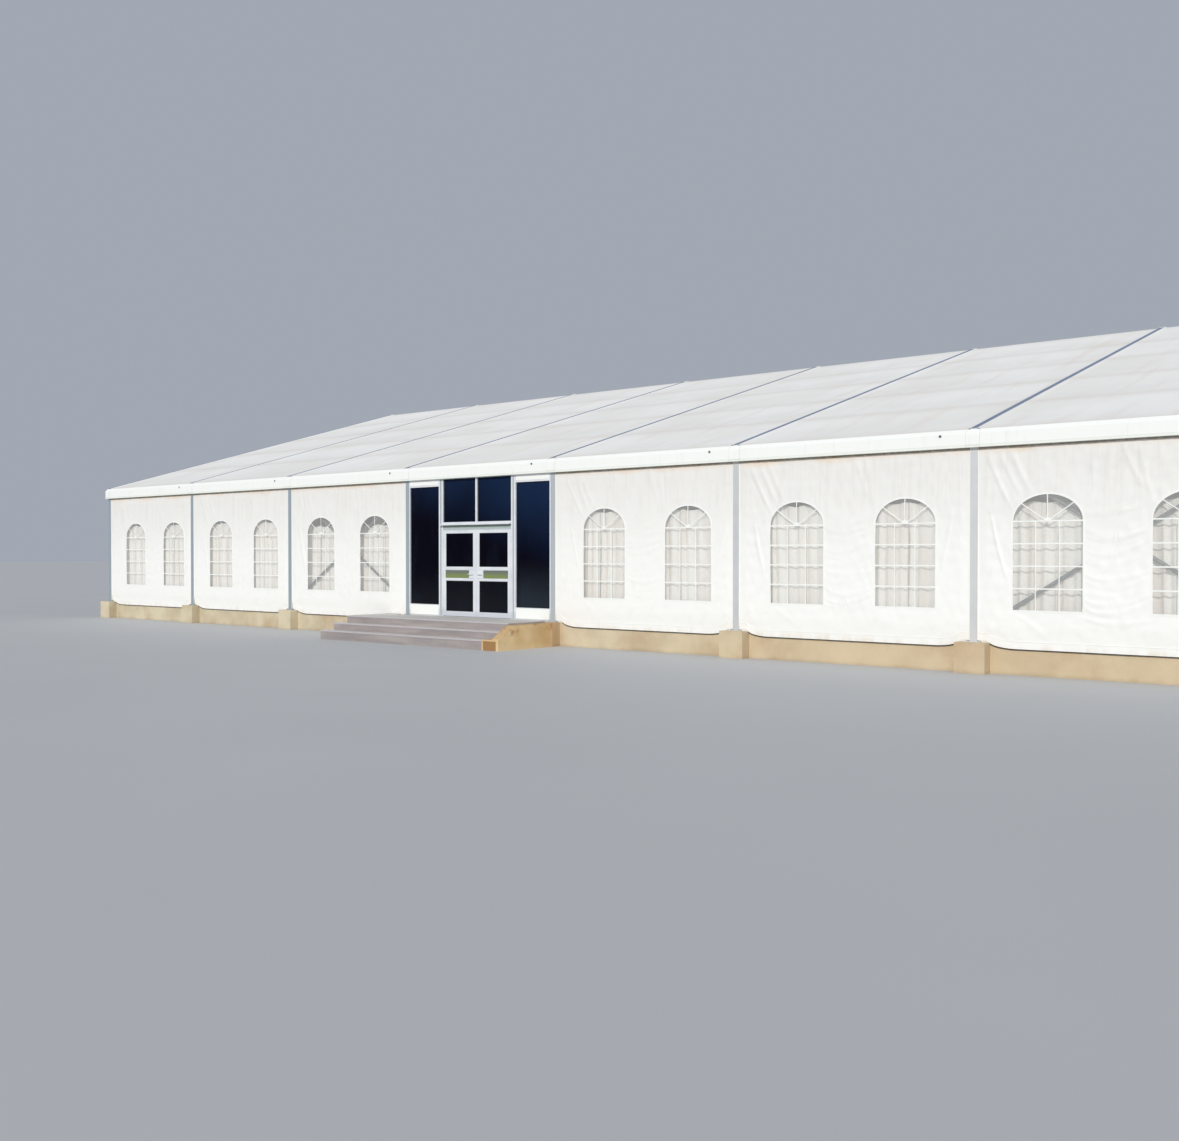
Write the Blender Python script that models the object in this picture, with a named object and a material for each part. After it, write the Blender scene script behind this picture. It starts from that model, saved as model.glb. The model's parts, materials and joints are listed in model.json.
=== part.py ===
"""Clearspan marquee tent on a concrete plinth, in metres, +Z up.

+X runs along the front wall to the right, +Y runs into the hall, and the origin lies on
the ground in the middle of the hall. Seven bays of aluminium portal frames carry coated
fabric roof covers and wall sheets. The middle bay of the front holds a glazed entrance.
"""

import math

import bmesh
import bpy
from mathutils import Matrix, Vector

# Plan of the hall
BAY_LENGTH = 5.0
BAY_COUNT = 7
ENTRANCE_BAY = 3
SPAN = 25.0
GABLE_BAY_COUNT = 5

# Heights above the ground
PLINTH_TOP = 0.55
EAVE_TOP = 4.38
RIDGE_TOP = 8.01

# How far the floor, hem and braces lie above or below the top of the plinth
FLOOR_RISE = 0.03
HEM_OVERLAP = 0.10
HEM_NOTCH_RISE = 0.06
BRACE_RISE = 0.23

# How far down from the eave the pieces under it start or end
WALL_DROP = 0.23
LINING_DROP = 1.27
FASCIA_HEIGHT = 0.36
EAVE_BEAM_DROP = 0.21
GABLE_BEAM_DROP = 0.28
BRACE_DROP = 0.46

# Gaps: between pieces that touch, and around pieces that move
FIT = 0.0003
RUNNING_GAP = 0.005

# Aluminium frame
LEG_WIDTH = 0.13
LEG_DEPTH = 0.28
LEG_PROUD = 0.05
BASE_PLATE_WIDTH = 0.24
BASE_PLATE_DEPTH = 0.36
BASE_PLATE_THICKNESS = 0.02
POST_DEPTH = 0.13
POST_PLATE_SIZE = 0.30
GABLE_BEAM_HEIGHT = 0.14
PURLINS_PER_SLOPE = 4
PURLIN_WIDTH = 0.06
PURLIN_HEIGHT = 0.10
RIDGE_BEAM_WIDTH = 0.12
RIDGE_BEAM_HEIGHT = 0.16
EAVE_BEAM_WIDTH = 0.10
EAVE_BEAM_HEIGHT = 0.12
EAVE_BEAM_SET_BACK = 0.10
BRACE_DIAMETER = 0.07
BRACE_SIDES = 10
BRACE_SET_BACK = 0.085

# Fabric
SHEET_THICKNESS = 0.012
PANE_SHEET_THICKNESS = 0.005
PANE_SHEET_MARGIN = 0.08
COVER_SET_DOWN = 0.015

# Eave fascia
FASCIA_DROP = 0.085
FASCIA_REACH = 0.07
FASCIA_THICKNESS = 0.012
FASCIA_LIP = 0.015
FASCIA_CAP_WIDTH = 0.26
FASCIA_CAP_PROUD = 0.006

# Arched windows
WINDOW_WIDTH = 1.21
WINDOW_SPACING = 2.28
WINDOW_SILL = 1.13
WINDOW_UPRIGHT = 1.56
WINDOW_RISE = 0.475
ARCH_STEPS = 12

# How far each front bay's pair of windows sits to the right of its middle
FRONT_WINDOW_SHIFTS = (0.30, 0.20, 0.05, 0.0, 0.16, 0.05, -0.07)

# Plinth
PLINTH_WIDTH = 0.35
PLINTH_SET_BACK = 0.026
PIER_WIDTH = 0.56
PIER_REACH = 0.24

# Steps and cheek wall
PLATFORM_DEPTH = 1.48
PLATFORM_LEFT = 3.17
PLATFORM_RIGHT = 2.44
PLATFORM_HEM_GAP = 0.02
STEP_RISE = 0.18
STEP_TREAD = 0.28
STEP_SPREAD = 0.175
STEP_COUNT = 3
CHEEK_WIDTH = 0.22
CHEEK_DROP = 0.04
CHEEK_FLAT = 1.56
CHEEK_SLOPE_RUN = 0.44
CHEEK_NOSE_Z = 0.26
BLOCK_SPREAD = 0.28
BLOCK_HEIGHT = 0.24

# Entrance frame, with its heights above the floor or below the top of the walls
FRAME_DEPTH = 0.10
JAMB_WIDTH = 0.03
DOORWAY_WIDTH = 2.35
DOORWAY_HEIGHT = 2.155
MULLION_WIDTH = 0.15
HEADER_HEIGHT = 0.195
HEAD_HEIGHT = 0.14
TRANSOM_MULLION = 0.055
KICK_HEIGHT = 0.28
SIDELIGHT_HEAD_HEIGHT = 0.31
GLASS_THICKNESS = 0.012

# Door leaves, with their heights above the floor
LEAF_THICKNESS = 0.05
LEAF_CLEARANCE = 0.01
STILE_WIDTH = 0.105
LEAF_BOTTOM_RAIL = 0.12
LEAF_MID_RISE = 0.89
LEAF_MID_RAIL = 0.35
LEAF_TOP_RAIL = 0.08
HINGE_RADIUS = 0.009
HINGE_OFFSET = 0.012
HINGE_LENGTH = 0.06
HINGE_GAP = 0.0005
HINGE_FLANGE = 0.035
HINGE_SINK = 0.006
HINGE_LOWEST = 0.22
HINGE_SPACING = 0.85
HINGE_COUNT = 3

HALF_SPAN = SPAN / 2
HALF_LENGTH = BAY_LENGTH * BAY_COUNT / 2
ROOF_SLOPE = math.atan((RIDGE_TOP - EAVE_TOP) / HALF_SPAN)
LEG_OUTER = HALF_SPAN + LEG_PROUD
LEG_INNER = LEG_OUTER - LEG_DEPTH
FRAME_XS = [index * BAY_LENGTH - HALF_LENGTH for index in range(BAY_COUNT + 1)]
GABLE_BAY = SPAN / GABLE_BAY_COUNT
POST_YS = [index * GABLE_BAY - HALF_SPAN for index in range(1, GABLE_BAY_COUNT)]
ENTRANCE_X = (FRAME_XS[ENTRANCE_BAY] + FRAME_XS[ENTRANCE_BAY + 1]) / 2
BRACE_BAYS = (ENTRANCE_BAY - 1, BAY_COUNT - 1)
PLINTH_X = HALF_LENGTH - PLINTH_SET_BACK
PLINTH_Y = HALF_SPAN - PLINTH_SET_BACK
SHEET_HALF = SHEET_THICKNESS / 2
FLOOR_TOP = PLINTH_TOP + FLOOR_RISE
HEM_Z = PLINTH_TOP - HEM_OVERLAP
NOTCH_TOP = PLINTH_TOP + HEM_NOTCH_RISE
WINDOW_SPRING = WINDOW_SILL + WINDOW_UPRIGHT
WINDOW_TOP = WINDOW_SPRING + WINDOW_RISE
WALL_TOP = EAVE_TOP - WALL_DROP
LINING_TOP = EAVE_TOP - LINING_DROP
FASCIA_BOTTOM = EAVE_TOP - FASCIA_HEIGHT
GABLE_BEAM_TOP = EAVE_TOP - GABLE_BEAM_DROP
GABLE_BEAM_BOTTOM = GABLE_BEAM_TOP - GABLE_BEAM_HEIGHT
HEADER_BOTTOM = FLOOR_TOP + DOORWAY_HEIGHT
HEADER_TOP = HEADER_BOTTOM + HEADER_HEIGHT


def start_scene():
    """Empty the file and make the two collections."""
    for old in list(bpy.data.objects):
        bpy.data.objects.remove(old, do_unlink=True)
    made = []
    for name in ("marquee_tent", "cutters"):
        group = bpy.data.collections.new(name)
        bpy.context.scene.collection.children.link(group)
        made.append(group)
    return made


PARTS, CUTTERS = start_scene()


def finish_material(name, colour, roughness, metallic=0.0):
    """A Principled material of one colour."""
    material = bpy.data.materials.new(name)
    material.use_nodes = True
    shader = material.node_tree.nodes["Principled BSDF"]
    shader.inputs["Base Color"].default_value = (*colour, 1.0)
    shader.inputs["Roughness"].default_value = roughness
    shader.inputs["Metallic"].default_value = metallic
    material.diffuse_color = (*colour, 1.0)
    return material


ALUMINIUM = finish_material("anodised aluminium", (0.52, 0.55, 0.58), 0.42, 0.9)
ROOF_FABRIC = finish_material("roof fabric", (0.78, 0.77, 0.80), 0.55)
WALL_FABRIC = finish_material("wall fabric", (0.86, 0.86, 0.84), 0.5)
FASCIA_WHITE = finish_material("fascia white", (0.88, 0.89, 0.88), 0.4)
CLEAR_SHEET = finish_material("clear window sheet", (0.80, 0.83, 0.85), 0.1)
CURTAIN = finish_material("curtain lining", (0.74, 0.74, 0.72), 0.8)
CONCRETE = finish_material("rendered concrete", (0.62, 0.55, 0.42), 0.9)
STEP_STONE = finish_material("step stone", (0.33, 0.31, 0.35), 0.85)
SAND_RENDER = finish_material("sand render", (0.58, 0.45, 0.30), 0.9)
DOOR_WHITE = finish_material("door frame white", (0.80, 0.83, 0.86), 0.35)
DARK_GLASS = finish_material("dark glass", (0.02, 0.03, 0.06), 0.05)


def new_object(name, mesh, material=None):
    """Put a mesh in the parts, or in the hidden cutters where it has no material."""
    thing = bpy.data.objects.new(name, mesh)
    if material is None:
        CUTTERS.objects.link(thing)
        thing.hide_render = True
        thing.display_type = "WIRE"
    else:
        PARTS.objects.link(thing)
        mesh.materials.append(material)
    return thing


def boxes_mesh(name, boxes):
    """One mesh of boxes, each a pair of corners, or corners with a turn about X."""
    shape = bmesh.new()
    for low, high, *turn in boxes:
        size = Vector(high) - Vector(low)
        place = Matrix.Translation((Vector(high) + Vector(low)) / 2)
        if turn:
            place = place @ Matrix.Rotation(turn[0], 4, "X")
        bmesh.ops.create_cube(shape, size=1.0, matrix=place @ Matrix.Diagonal((*size, 1.0)))
    mesh = bpy.data.meshes.new(name)
    shape.to_mesh(mesh)
    shape.free()
    return mesh


def box(name, low, high, material=None):
    """One upright box between two corners."""
    return new_object(name, boxes_mesh(name, [(low, high)]), material)


def outline_mesh(name, loops, thickness, turn=None):
    """A flat outline with holes, made solid by a curve's extrude and then turned."""
    curve = bpy.data.curves.new(name, "CURVE")
    curve.dimensions = "2D"
    curve.fill_mode = "BOTH"
    curve.extrude = thickness / 2
    for loop in loops:
        spline = curve.splines.new("POLY")
        spline.points.add(len(loop) - 1)
        for point, (across, up) in zip(spline.points, loop):
            point.co = (across, up, 0.0, 1.0)
        spline.use_cyclic_u = True
    drawn = bpy.data.objects.new(name, curve)
    bpy.context.scene.collection.objects.link(drawn)
    bpy.context.view_layer.update()
    seen = drawn.evaluated_get(bpy.context.evaluated_depsgraph_get())
    mesh = bpy.data.meshes.new_from_object(seen)
    bpy.data.objects.remove(drawn)
    bpy.data.curves.remove(curve)
    shape = bmesh.new()
    shape.from_mesh(mesh)
    bmesh.ops.remove_doubles(shape, verts=shape.verts, dist=0.00001)
    bmesh.ops.recalc_face_normals(shape, faces=shape.faces)
    if turn is not None:
        bmesh.ops.transform(shape, matrix=turn, verts=shape.verts)
    shape.to_mesh(mesh)
    shape.free()
    mesh.materials.clear()
    return mesh


# Drawn across and up, an outline is stood up facing the front or facing the gable
FACING_FRONT = Matrix.Rotation(math.radians(90), 4, "X")
FACING_GABLE = Matrix(((0, 0, 1, 0), (1, 0, 0, 0), (0, 1, 0, 0), (0, 0, 0, 1)))


def rectangle(left, right, bottom, top):
    """The corners of a rectangle, for an outline."""
    return [(left, bottom), (right, bottom), (right, top), (left, top)]


def combine(target, other, how):
    """Cut the other solid out of the target, add it, or keep what they share."""
    step = target.modifiers.new(f"{how.lower()} {other.name}", "BOOLEAN")
    step.operation = how
    step.object = other
    step.solver = "EXACT"


def roof_z(across, below=0.0):
    """Height of a line parallel to the roof, the given distance below the rafter tops."""
    return RIDGE_TOP - abs(across) * math.tan(ROOF_SLOPE) - below / math.cos(ROOF_SLOPE)


def make_plinth():
    """The ring under the walls, its piers, and the floor slab inside it."""
    inner_x = PLINTH_X - PLINTH_WIDTH
    inner_y = PLINTH_Y - PLINTH_WIDTH
    outer = rectangle(-PLINTH_X, PLINTH_X, -PLINTH_Y, PLINTH_Y)
    hollow = rectangle(-inner_x, inner_x, -inner_y, inner_y)
    lift = Matrix.Translation((0, 0, PLINTH_TOP / 2))
    ring = new_object("plinth", outline_mesh("plinth", [outer, hollow], PLINTH_TOP, lift), CONCRETE)
    piers = []
    half = PIER_WIDTH / 2
    cheek_face = ENTRANCE_X + PLATFORM_RIGHT + FIT + CHEEK_WIDTH
    for side in (-1, 1):
        near, far = sorted((side * (PLINTH_Y - PLINTH_WIDTH / 2), side * (HALF_SPAN + PIER_REACH)))
        for index, x in enumerate(FRAME_XS):
            right = x + half
            if side < 0 and index == ENTRANCE_BAY + 1:
                right = min(right, cheek_face)
            piers.append(((x - half, near, 0), (right, far, PLINTH_TOP)))
        near, far = sorted((side * (PLINTH_X - PLINTH_WIDTH / 2), side * (HALF_LENGTH + PIER_REACH)))
        for y in POST_YS:
            piers.append(((near, y - half, 0), (far, y + half, PLINTH_TOP)))
    combine(ring, new_object("piers", boxes_mesh("piers", piers)), "UNION")
    box(
        "floor_slab",
        (-inner_x + FIT, -inner_y + FIT, 0),
        (inner_x - FIT, inner_y - FIT, FLOOR_TOP),
        CONCRETE,
    )


def make_steps():
    """Platform and treads, open at the left, with the cheek wall and block at the right."""
    front = -(HALF_SPAN + PIER_REACH) - FIT
    right = ENTRANCE_X + PLATFORM_RIGHT
    block_left = right - BLOCK_SPREAD
    flights = []
    for index in range(STEP_COUNT):
        left = ENTRANCE_X - PLATFORM_LEFT - index * STEP_SPREAD
        edge = -HALF_SPAN - PLATFORM_DEPTH - index * STEP_TREAD
        end = right if index < STEP_COUNT - 1 else block_left - FIT
        flights.append(((left, edge, 0), (end, front, FLOOR_TOP - index * STEP_RISE)))
    between_piers = BAY_LENGTH / 2 - PIER_WIDTH / 2 - FIT
    for back, top in ((-LEG_OUTER - FIT, FLOOR_TOP), (-PLINTH_Y - FIT, PLINTH_TOP)):
        flights.append((
            (ENTRANCE_X - between_piers, front - STEP_TREAD, 0),
            (ENTRANCE_X + between_piers, back, top),
        ))
    beside_pier = ENTRANCE_X - BAY_LENGTH / 2 - PIER_WIDTH / 2 - FIT
    flights.append((
        (ENTRANCE_X - PLATFORM_LEFT, front - STEP_TREAD, 0),
        (beside_pier, -HALF_SPAN - SHEET_HALF - PLATFORM_HEM_GAP, FLOOR_TOP),
    ))
    steps = box("entrance_steps", *flights[0], STEP_STONE)
    for index, flight in enumerate(flights[1:], start=1):
        combine(steps, box(f"flight_{index}", *flight), "UNION")

    cheek_left = right + FIT
    cheek_top = FLOOR_TOP - CHEEK_DROP
    slope_top = -HALF_SPAN - CHEEK_FLAT
    slope_foot = slope_top - CHEEK_SLOPE_RUN
    profile = [
        (front, 0.0),
        (front, cheek_top),
        (slope_top, cheek_top),
        (slope_foot, CHEEK_NOSE_Z),
        (slope_foot, 0.0),
    ]
    stand = Matrix.Translation((cheek_left + CHEEK_WIDTH / 2, 0, 0)) @ FACING_GABLE
    cheek = new_object("step_cheek_wall", outline_mesh("step_cheek_wall", [profile], CHEEK_WIDTH, stand),
                       SAND_RENDER)
    lowest_edge = -HALF_SPAN - PLATFORM_DEPTH - (STEP_COUNT - 1) * STEP_TREAD
    block_back = lowest_edge + STEP_TREAD - FIT
    block = box(
        "block",
        (block_left, lowest_edge, 0),
        (cheek_left + CHEEK_WIDTH, block_back, BLOCK_HEIGHT),
    )
    combine(cheek, block, "UNION")


def roof_bars():
    """Corners and turns of the ridge, eave and roof beams that run the length of the hall."""
    reach = HALF_LENGTH - LEG_WIDTH / 2 - FIT
    bars = {}
    under_cover = COVER_SET_DOWN + SHEET_THICKNESS + FIT
    eave_low = EAVE_TOP - EAVE_BEAM_DROP
    for side, word in ((-1, "front"), (1, "back")):
        outer = side * (LEG_OUTER - EAVE_BEAM_SET_BACK)
        inner = side * (LEG_OUTER - EAVE_BEAM_SET_BACK - EAVE_BEAM_WIDTH)
        low = (-reach, min(outer, inner), eave_low)
        high = (reach, max(outer, inner), eave_low + EAVE_BEAM_HEIGHT)
        bars[f"eave_beam_{word}"] = (low, high, 0.0)
        for index in range(1, PURLINS_PER_SLOPE + 1):
            y = side * HALF_SPAN * index / (PURLINS_PER_SLOPE + 1)
            z = roof_z(y, under_cover + PURLIN_HEIGHT / 2)
            low = (-reach, y - PURLIN_WIDTH / 2, z - PURLIN_HEIGHT / 2)
            high = (reach, y + PURLIN_WIDTH / 2, z + PURLIN_HEIGHT / 2)
            bars[f"purlin_{word}_{index}"] = (low, high, -side * ROOF_SLOPE)
    return bars


def ridge_profile(spare):
    """Outline of the ridge beam, pitched on top like the covers that lie on it."""
    half = RIDGE_BEAM_WIDTH / 2 + spare
    below = COVER_SET_DOWN + SHEET_THICKNESS + FIT - spare
    bottom = roof_z(0, COVER_SET_DOWN + SHEET_THICKNESS) - RIDGE_BEAM_HEIGHT - spare
    return [(-half, bottom), (half, bottom), (half, roof_z(half, below)), (0, roof_z(0, below)),
            (-half, roof_z(half, below))]


def grown(bar, spare):
    """The same bar with some room on every side."""
    low, high, turn = bar
    room = Vector((LEG_WIDTH, spare, spare))
    return (Vector(low) - room, Vector(high) + room, turn)


def make_roof_bars():
    """Ridge beam, purlins and eave beams, and the slots that they need in the frames."""
    bars = roof_bars()
    for name, bar in bars.items():
        new_object(name, boxes_mesh(name, [bar]), ALUMINIUM)
    length = 2 * (HALF_LENGTH - LEG_WIDTH / 2 - FIT)
    mesh = outline_mesh("ridge_beam", [ridge_profile(0.0)], length, FACING_GABLE)
    new_object("ridge_beam", mesh, ALUMINIUM)
    slots = [new_object("bar_slots", boxes_mesh("bar_slots", [grown(bar, FIT) for bar in bars.values()]))]
    ridge_slot = outline_mesh("ridge_slot", [ridge_profile(FIT)], length + LEG_WIDTH, FACING_GABLE)
    slots.append(new_object("ridge_slot", ridge_slot))
    return slots


def portal_outline():
    """Legs and rafters as one outline, across and up, from foot to ridge to foot."""
    foot = PLINTH_TOP + FIT
    return [
        (-LEG_OUTER, foot),
        (-LEG_INNER, foot),
        (-LEG_INNER, roof_z(LEG_INNER, LEG_DEPTH)),
        (0.0, roof_z(0.0, LEG_DEPTH)),
        (LEG_INNER, roof_z(LEG_INNER, LEG_DEPTH)),
        (LEG_INNER, foot),
        (LEG_OUTER, foot),
        (LEG_OUTER, roof_z(LEG_OUTER)),
        (0.0, RIDGE_TOP),
        (-LEG_OUTER, roof_z(LEG_OUTER)),
    ]


def plate_boxes(x):
    """Base plates under the two legs of the frame at x."""
    half = BASE_PLATE_WIDTH / 2
    middle = (LEG_OUTER + LEG_INNER) / 2
    foot = PLINTH_TOP + FIT
    boxes = []
    for y in (-middle, middle):
        low = (x - half, y - BASE_PLATE_DEPTH / 2, foot)
        high = (x + half, y + BASE_PLATE_DEPTH / 2, foot + BASE_PLATE_THICKNESS)
        boxes.append((low, high))
    return boxes


def gable_boxes(x):
    """Gable posts, their base plates and the gable beam, in the end frame at x."""
    foot = PLINTH_TOP + FIT
    boxes = []
    for y in POST_YS:
        top = roof_z(abs(y) + LEG_WIDTH / 2, LEG_DEPTH / 2)
        low = (x - POST_DEPTH / 2, y - LEG_WIDTH / 2, foot)
        high = (x + POST_DEPTH / 2, y + LEG_WIDTH / 2, top)
        boxes.append((low, high))
        half = POST_PLATE_SIZE / 2
        boxes.append(((x - half, y - half, foot), (x + half, y + half, foot + BASE_PLATE_THICKNESS)))
    beam_end = (LEG_OUTER + LEG_INNER) / 2
    low = (x - POST_DEPTH / 2, -beam_end, GABLE_BEAM_BOTTOM)
    high = (x + POST_DEPTH / 2, beam_end, GABLE_BEAM_TOP)
    boxes.append((low, high))
    return boxes


def make_frames(bar_slots, grooves):
    """The portal frames, slotted for the bars and grooved for the sheets that they hold."""
    for index, x in enumerate(FRAME_XS):
        name = f"portal_frame_{index + 1}"
        place = Matrix.Translation((x, 0, 0)) @ FACING_GABLE
        frame = new_object(name, outline_mesh(name, [portal_outline()], LEG_WIDTH, place), ALUMINIUM)
        at_end = index in (0, BAY_COUNT)
        extras = plate_boxes(x) + (gable_boxes(x) if at_end else [])
        for number, extra in enumerate(extras, start=1):
            combine(frame, box(f"{name}_extra_{number}", *extra), "UNION")
        if at_end:
            combine(frame, grooves[1 if index else -1], "DIFFERENCE")
            continue
        for slot in bar_slots:
            combine(frame, slot, "DIFFERENCE")
        combine(frame, grooves["back"], "DIFFERENCE")
        if index not in (ENTRANCE_BAY, ENTRANCE_BAY + 1):
            combine(frame, grooves["front"], "DIFFERENCE")


def window_outline(centre):
    """A window with upright sides under a flat arch, as a half ellipse."""
    half = WINDOW_WIDTH / 2
    points = [(centre - half, WINDOW_SILL), (centre + half, WINDOW_SILL)]
    for step in range(ARCH_STEPS + 1):
        angle = math.pi * step / ARCH_STEPS
        points.append((centre + half * math.cos(angle), WINDOW_SPRING + WINDOW_RISE * math.sin(angle)))
    return points


def make_wall(name, start, end, top, bay_centres, post_places, place):
    """One run of wall fabric, cut by its windows, two a bay, and notched over the piers.

    A clear sheet behind it closes the windows.
    """
    plate = outline_mesh(name, [rectangle(start, end, HEM_Z, top)], SHEET_THICKNESS, place)
    wall = new_object(name, plate, WALL_FABRIC)
    half = PIER_WIDTH / 2 + RUNNING_GAP
    cuts = []
    for middle in post_places:
        if start - half < middle < end + half:
            cuts.append(rectangle(middle - half, middle + half, HEM_Z - HEM_NOTCH_RISE, NOTCH_TOP))
    for centre in bay_centres:
        cuts.append(window_outline(centre - WINDOW_SPACING / 2))
        cuts.append(window_outline(centre + WINDOW_SPACING / 2))
    cutter = outline_mesh(f"{name}_cuts", cuts, 3 * SHEET_THICKNESS, place)
    combine(wall, new_object(f"{name}_cuts", cutter), "DIFFERENCE")
    low = WINDOW_SILL - PANE_SHEET_MARGIN
    high = WINDOW_TOP + PANE_SHEET_MARGIN
    behind = Matrix.Translation((0, 0, -(SHEET_HALF + FIT + PANE_SHEET_THICKNESS / 2)))
    pane_name = name.replace("wall", "window_sheet")
    pane = outline_mesh(pane_name, [rectangle(start, end, low, high)], PANE_SHEET_THICKNESS, place @ behind)
    new_object(pane_name, pane, CLEAR_SHEET)


def gable_place(side):
    """Where an outline drawn for a gable stands: outside to the right, or to the left."""
    turn = Matrix.Rotation(side * math.radians(90), 4, "Z")
    return Matrix.Translation((side * HALF_LENGTH, 0, 0)) @ turn @ FACING_FRONT


def make_walls():
    """Front wall in two runs beside the entrance, back wall, gable walls and triangles."""
    centres = [x + BAY_LENGTH / 2 for x in FRAME_XS[:-1]]
    side_gap = LEG_WIDTH / 2 + FIT
    front = Matrix.Translation((0, -HALF_SPAN, 0)) @ FACING_FRONT
    back = Matrix.Rotation(math.pi, 4, "Z") @ front
    first = FRAME_XS[0] + side_gap
    last = FRAME_XS[-1] - side_gap
    before = FRAME_XS[ENTRANCE_BAY] - side_gap
    after = FRAME_XS[ENTRANCE_BAY + 1] + side_gap
    shifted = [centre + shift for centre, shift in zip(centres, FRONT_WINDOW_SHIFTS)]
    make_wall("front_wall_left", first, before, WALL_TOP, shifted[:ENTRANCE_BAY], FRAME_XS, front)
    make_wall("front_wall_right", after, last, WALL_TOP, shifted[ENTRANCE_BAY + 1:], FRAME_XS, front)
    make_wall("back_wall", first, last, WALL_TOP, centres, FRAME_XS, back)

    end = LEG_INNER - FIT
    under = LEG_DEPTH + FIT
    centres = [(index + 0.5) * GABLE_BAY - HALF_SPAN for index in range(GABLE_BAY_COUNT)]
    places = [-HALF_SPAN, *POST_YS, HALF_SPAN]
    triangle = [(-end, GABLE_BEAM_TOP + FIT), (end, GABLE_BEAM_TOP + FIT), (end, roof_z(end, under)),
                (0, roof_z(0, under)), (-end, roof_z(end, under))]
    for side, word in ((-1, "left"), (1, "right")):
        place = gable_place(side)
        make_wall(f"gable_wall_{word}", -end, end, GABLE_BEAM_BOTTOM - FIT, centres, places, place)
        name = f"gable_triangle_{word}"
        new_object(name, outline_mesh(name, [triangle], SHEET_THICKNESS, place), WALL_FABRIC)


def make_grooves():
    """Grooves through legs and posts for the wall fabric and the clear sheet behind it."""
    outer = HALF_SPAN + SHEET_HALF + FIT
    inner = HALF_SPAN - SHEET_HALF - PANE_SHEET_THICKNESS - 2 * FIT
    reach = HALF_LENGTH - BAY_LENGTH / 2
    low = NOTCH_TOP - FIT
    high = WALL_TOP + FIT
    grooves = {
        "front": box("front_groove", (-reach, -outer, low), (reach, -inner, high)),
        "back": box("back_groove", (-reach, inner, low), (reach, outer, high)),
    }
    under = LEG_DEPTH - FIT
    loops = []
    for y in POST_YS:
        left = y - LEG_WIDTH
        right = y + LEG_WIDTH
        loops.append(rectangle(left, right, low, GABLE_BEAM_BOTTOM + FIT))
        loops.append([(left, GABLE_BEAM_TOP - FIT), (right, GABLE_BEAM_TOP - FIT),
                      (right, roof_z(right, under)), (left, roof_z(left, under))])
    shift = Matrix.Translation((0, 0, (outer + inner) / 2 - HALF_SPAN))
    for side in (-1, 1):
        mesh = outline_mesh("gable_groove", loops, outer - inner, gable_place(side) @ shift)
        grooves[side] = new_object("gable_groove", mesh)
    return grooves


def make_covers():
    """Roof covers, one a bay, folded over the ridge and ending at the eaves."""
    top = COVER_SET_DOWN
    under = COVER_SET_DOWN + SHEET_THICKNESS
    profile = [
        (-LEG_OUTER, roof_z(LEG_OUTER, top)),
        (-LEG_OUTER, roof_z(LEG_OUTER, under)),
        (0.0, roof_z(0.0, under)),
        (LEG_OUTER, roof_z(LEG_OUTER, under)),
        (LEG_OUTER, roof_z(LEG_OUTER, top)),
        (0.0, roof_z(0.0, top)),
    ]
    width = BAY_LENGTH - LEG_WIDTH - 2 * FIT
    for index, x in enumerate(FRAME_XS[:-1]):
        name = f"roof_cover_{index + 1}"
        place = Matrix.Translation((x + BAY_LENGTH / 2, 0, 0)) @ FACING_GABLE
        new_object(name, outline_mesh(name, [profile], width, place), ROOF_FABRIC)


def fascia_profile(back, face, top):
    """The channel of the fascia, open to the wall, with a small lip along its bottom."""
    wall = FASCIA_THICKNESS
    bottom = FASCIA_BOTTOM
    return [
        (-back, top),
        (-face, top - FASCIA_DROP),
        (-face, bottom + 2 * wall),
        (-face - FASCIA_LIP, bottom + wall),
        (-face - FASCIA_LIP, bottom),
        (-back, bottom),
        (-back, bottom + wall),
        (-face + wall, bottom + 2 * wall),
        (-face + wall, top - FASCIA_DROP - wall),
        (-back, top - wall),
    ]


def make_fascias():
    """White fascia along each eave, with a cap over the joint at every leg."""
    end = HALF_LENGTH + FASCIA_CAP_WIDTH / 2 + FASCIA_THICKNESS
    back = LEG_OUTER + FIT
    face = back + FASCIA_REACH
    top = roof_z(LEG_OUTER, COVER_SET_DOWN)
    low = FASCIA_BOTTOM + 3 * FASCIA_THICKNESS
    high = top - FASCIA_DROP - FASCIA_THICKNESS
    caps = []
    for x in FRAME_XS:
        half = FASCIA_CAP_WIDTH / 2
        near = (x - half, -face - FASCIA_CAP_PROUD, low)
        caps.append((near, (x + half, -face + FASCIA_THICKNESS / 2, high)))
    for name, turn in (("eave_fascia_front", 0.0), ("eave_fascia_back", math.pi)):
        about = Matrix.Rotation(turn, 4, "Z")
        mesh = outline_mesh(name, [fascia_profile(back, face, top)], 2 * end, about @ FACING_GABLE)
        fascia = new_object(name, mesh, FASCIA_WHITE)
        cap_mesh = boxes_mesh(f"{name}_caps", caps)
        cap_mesh.transform(about)
        combine(fascia, new_object(f"{name}_caps", cap_mesh), "UNION")


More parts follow.
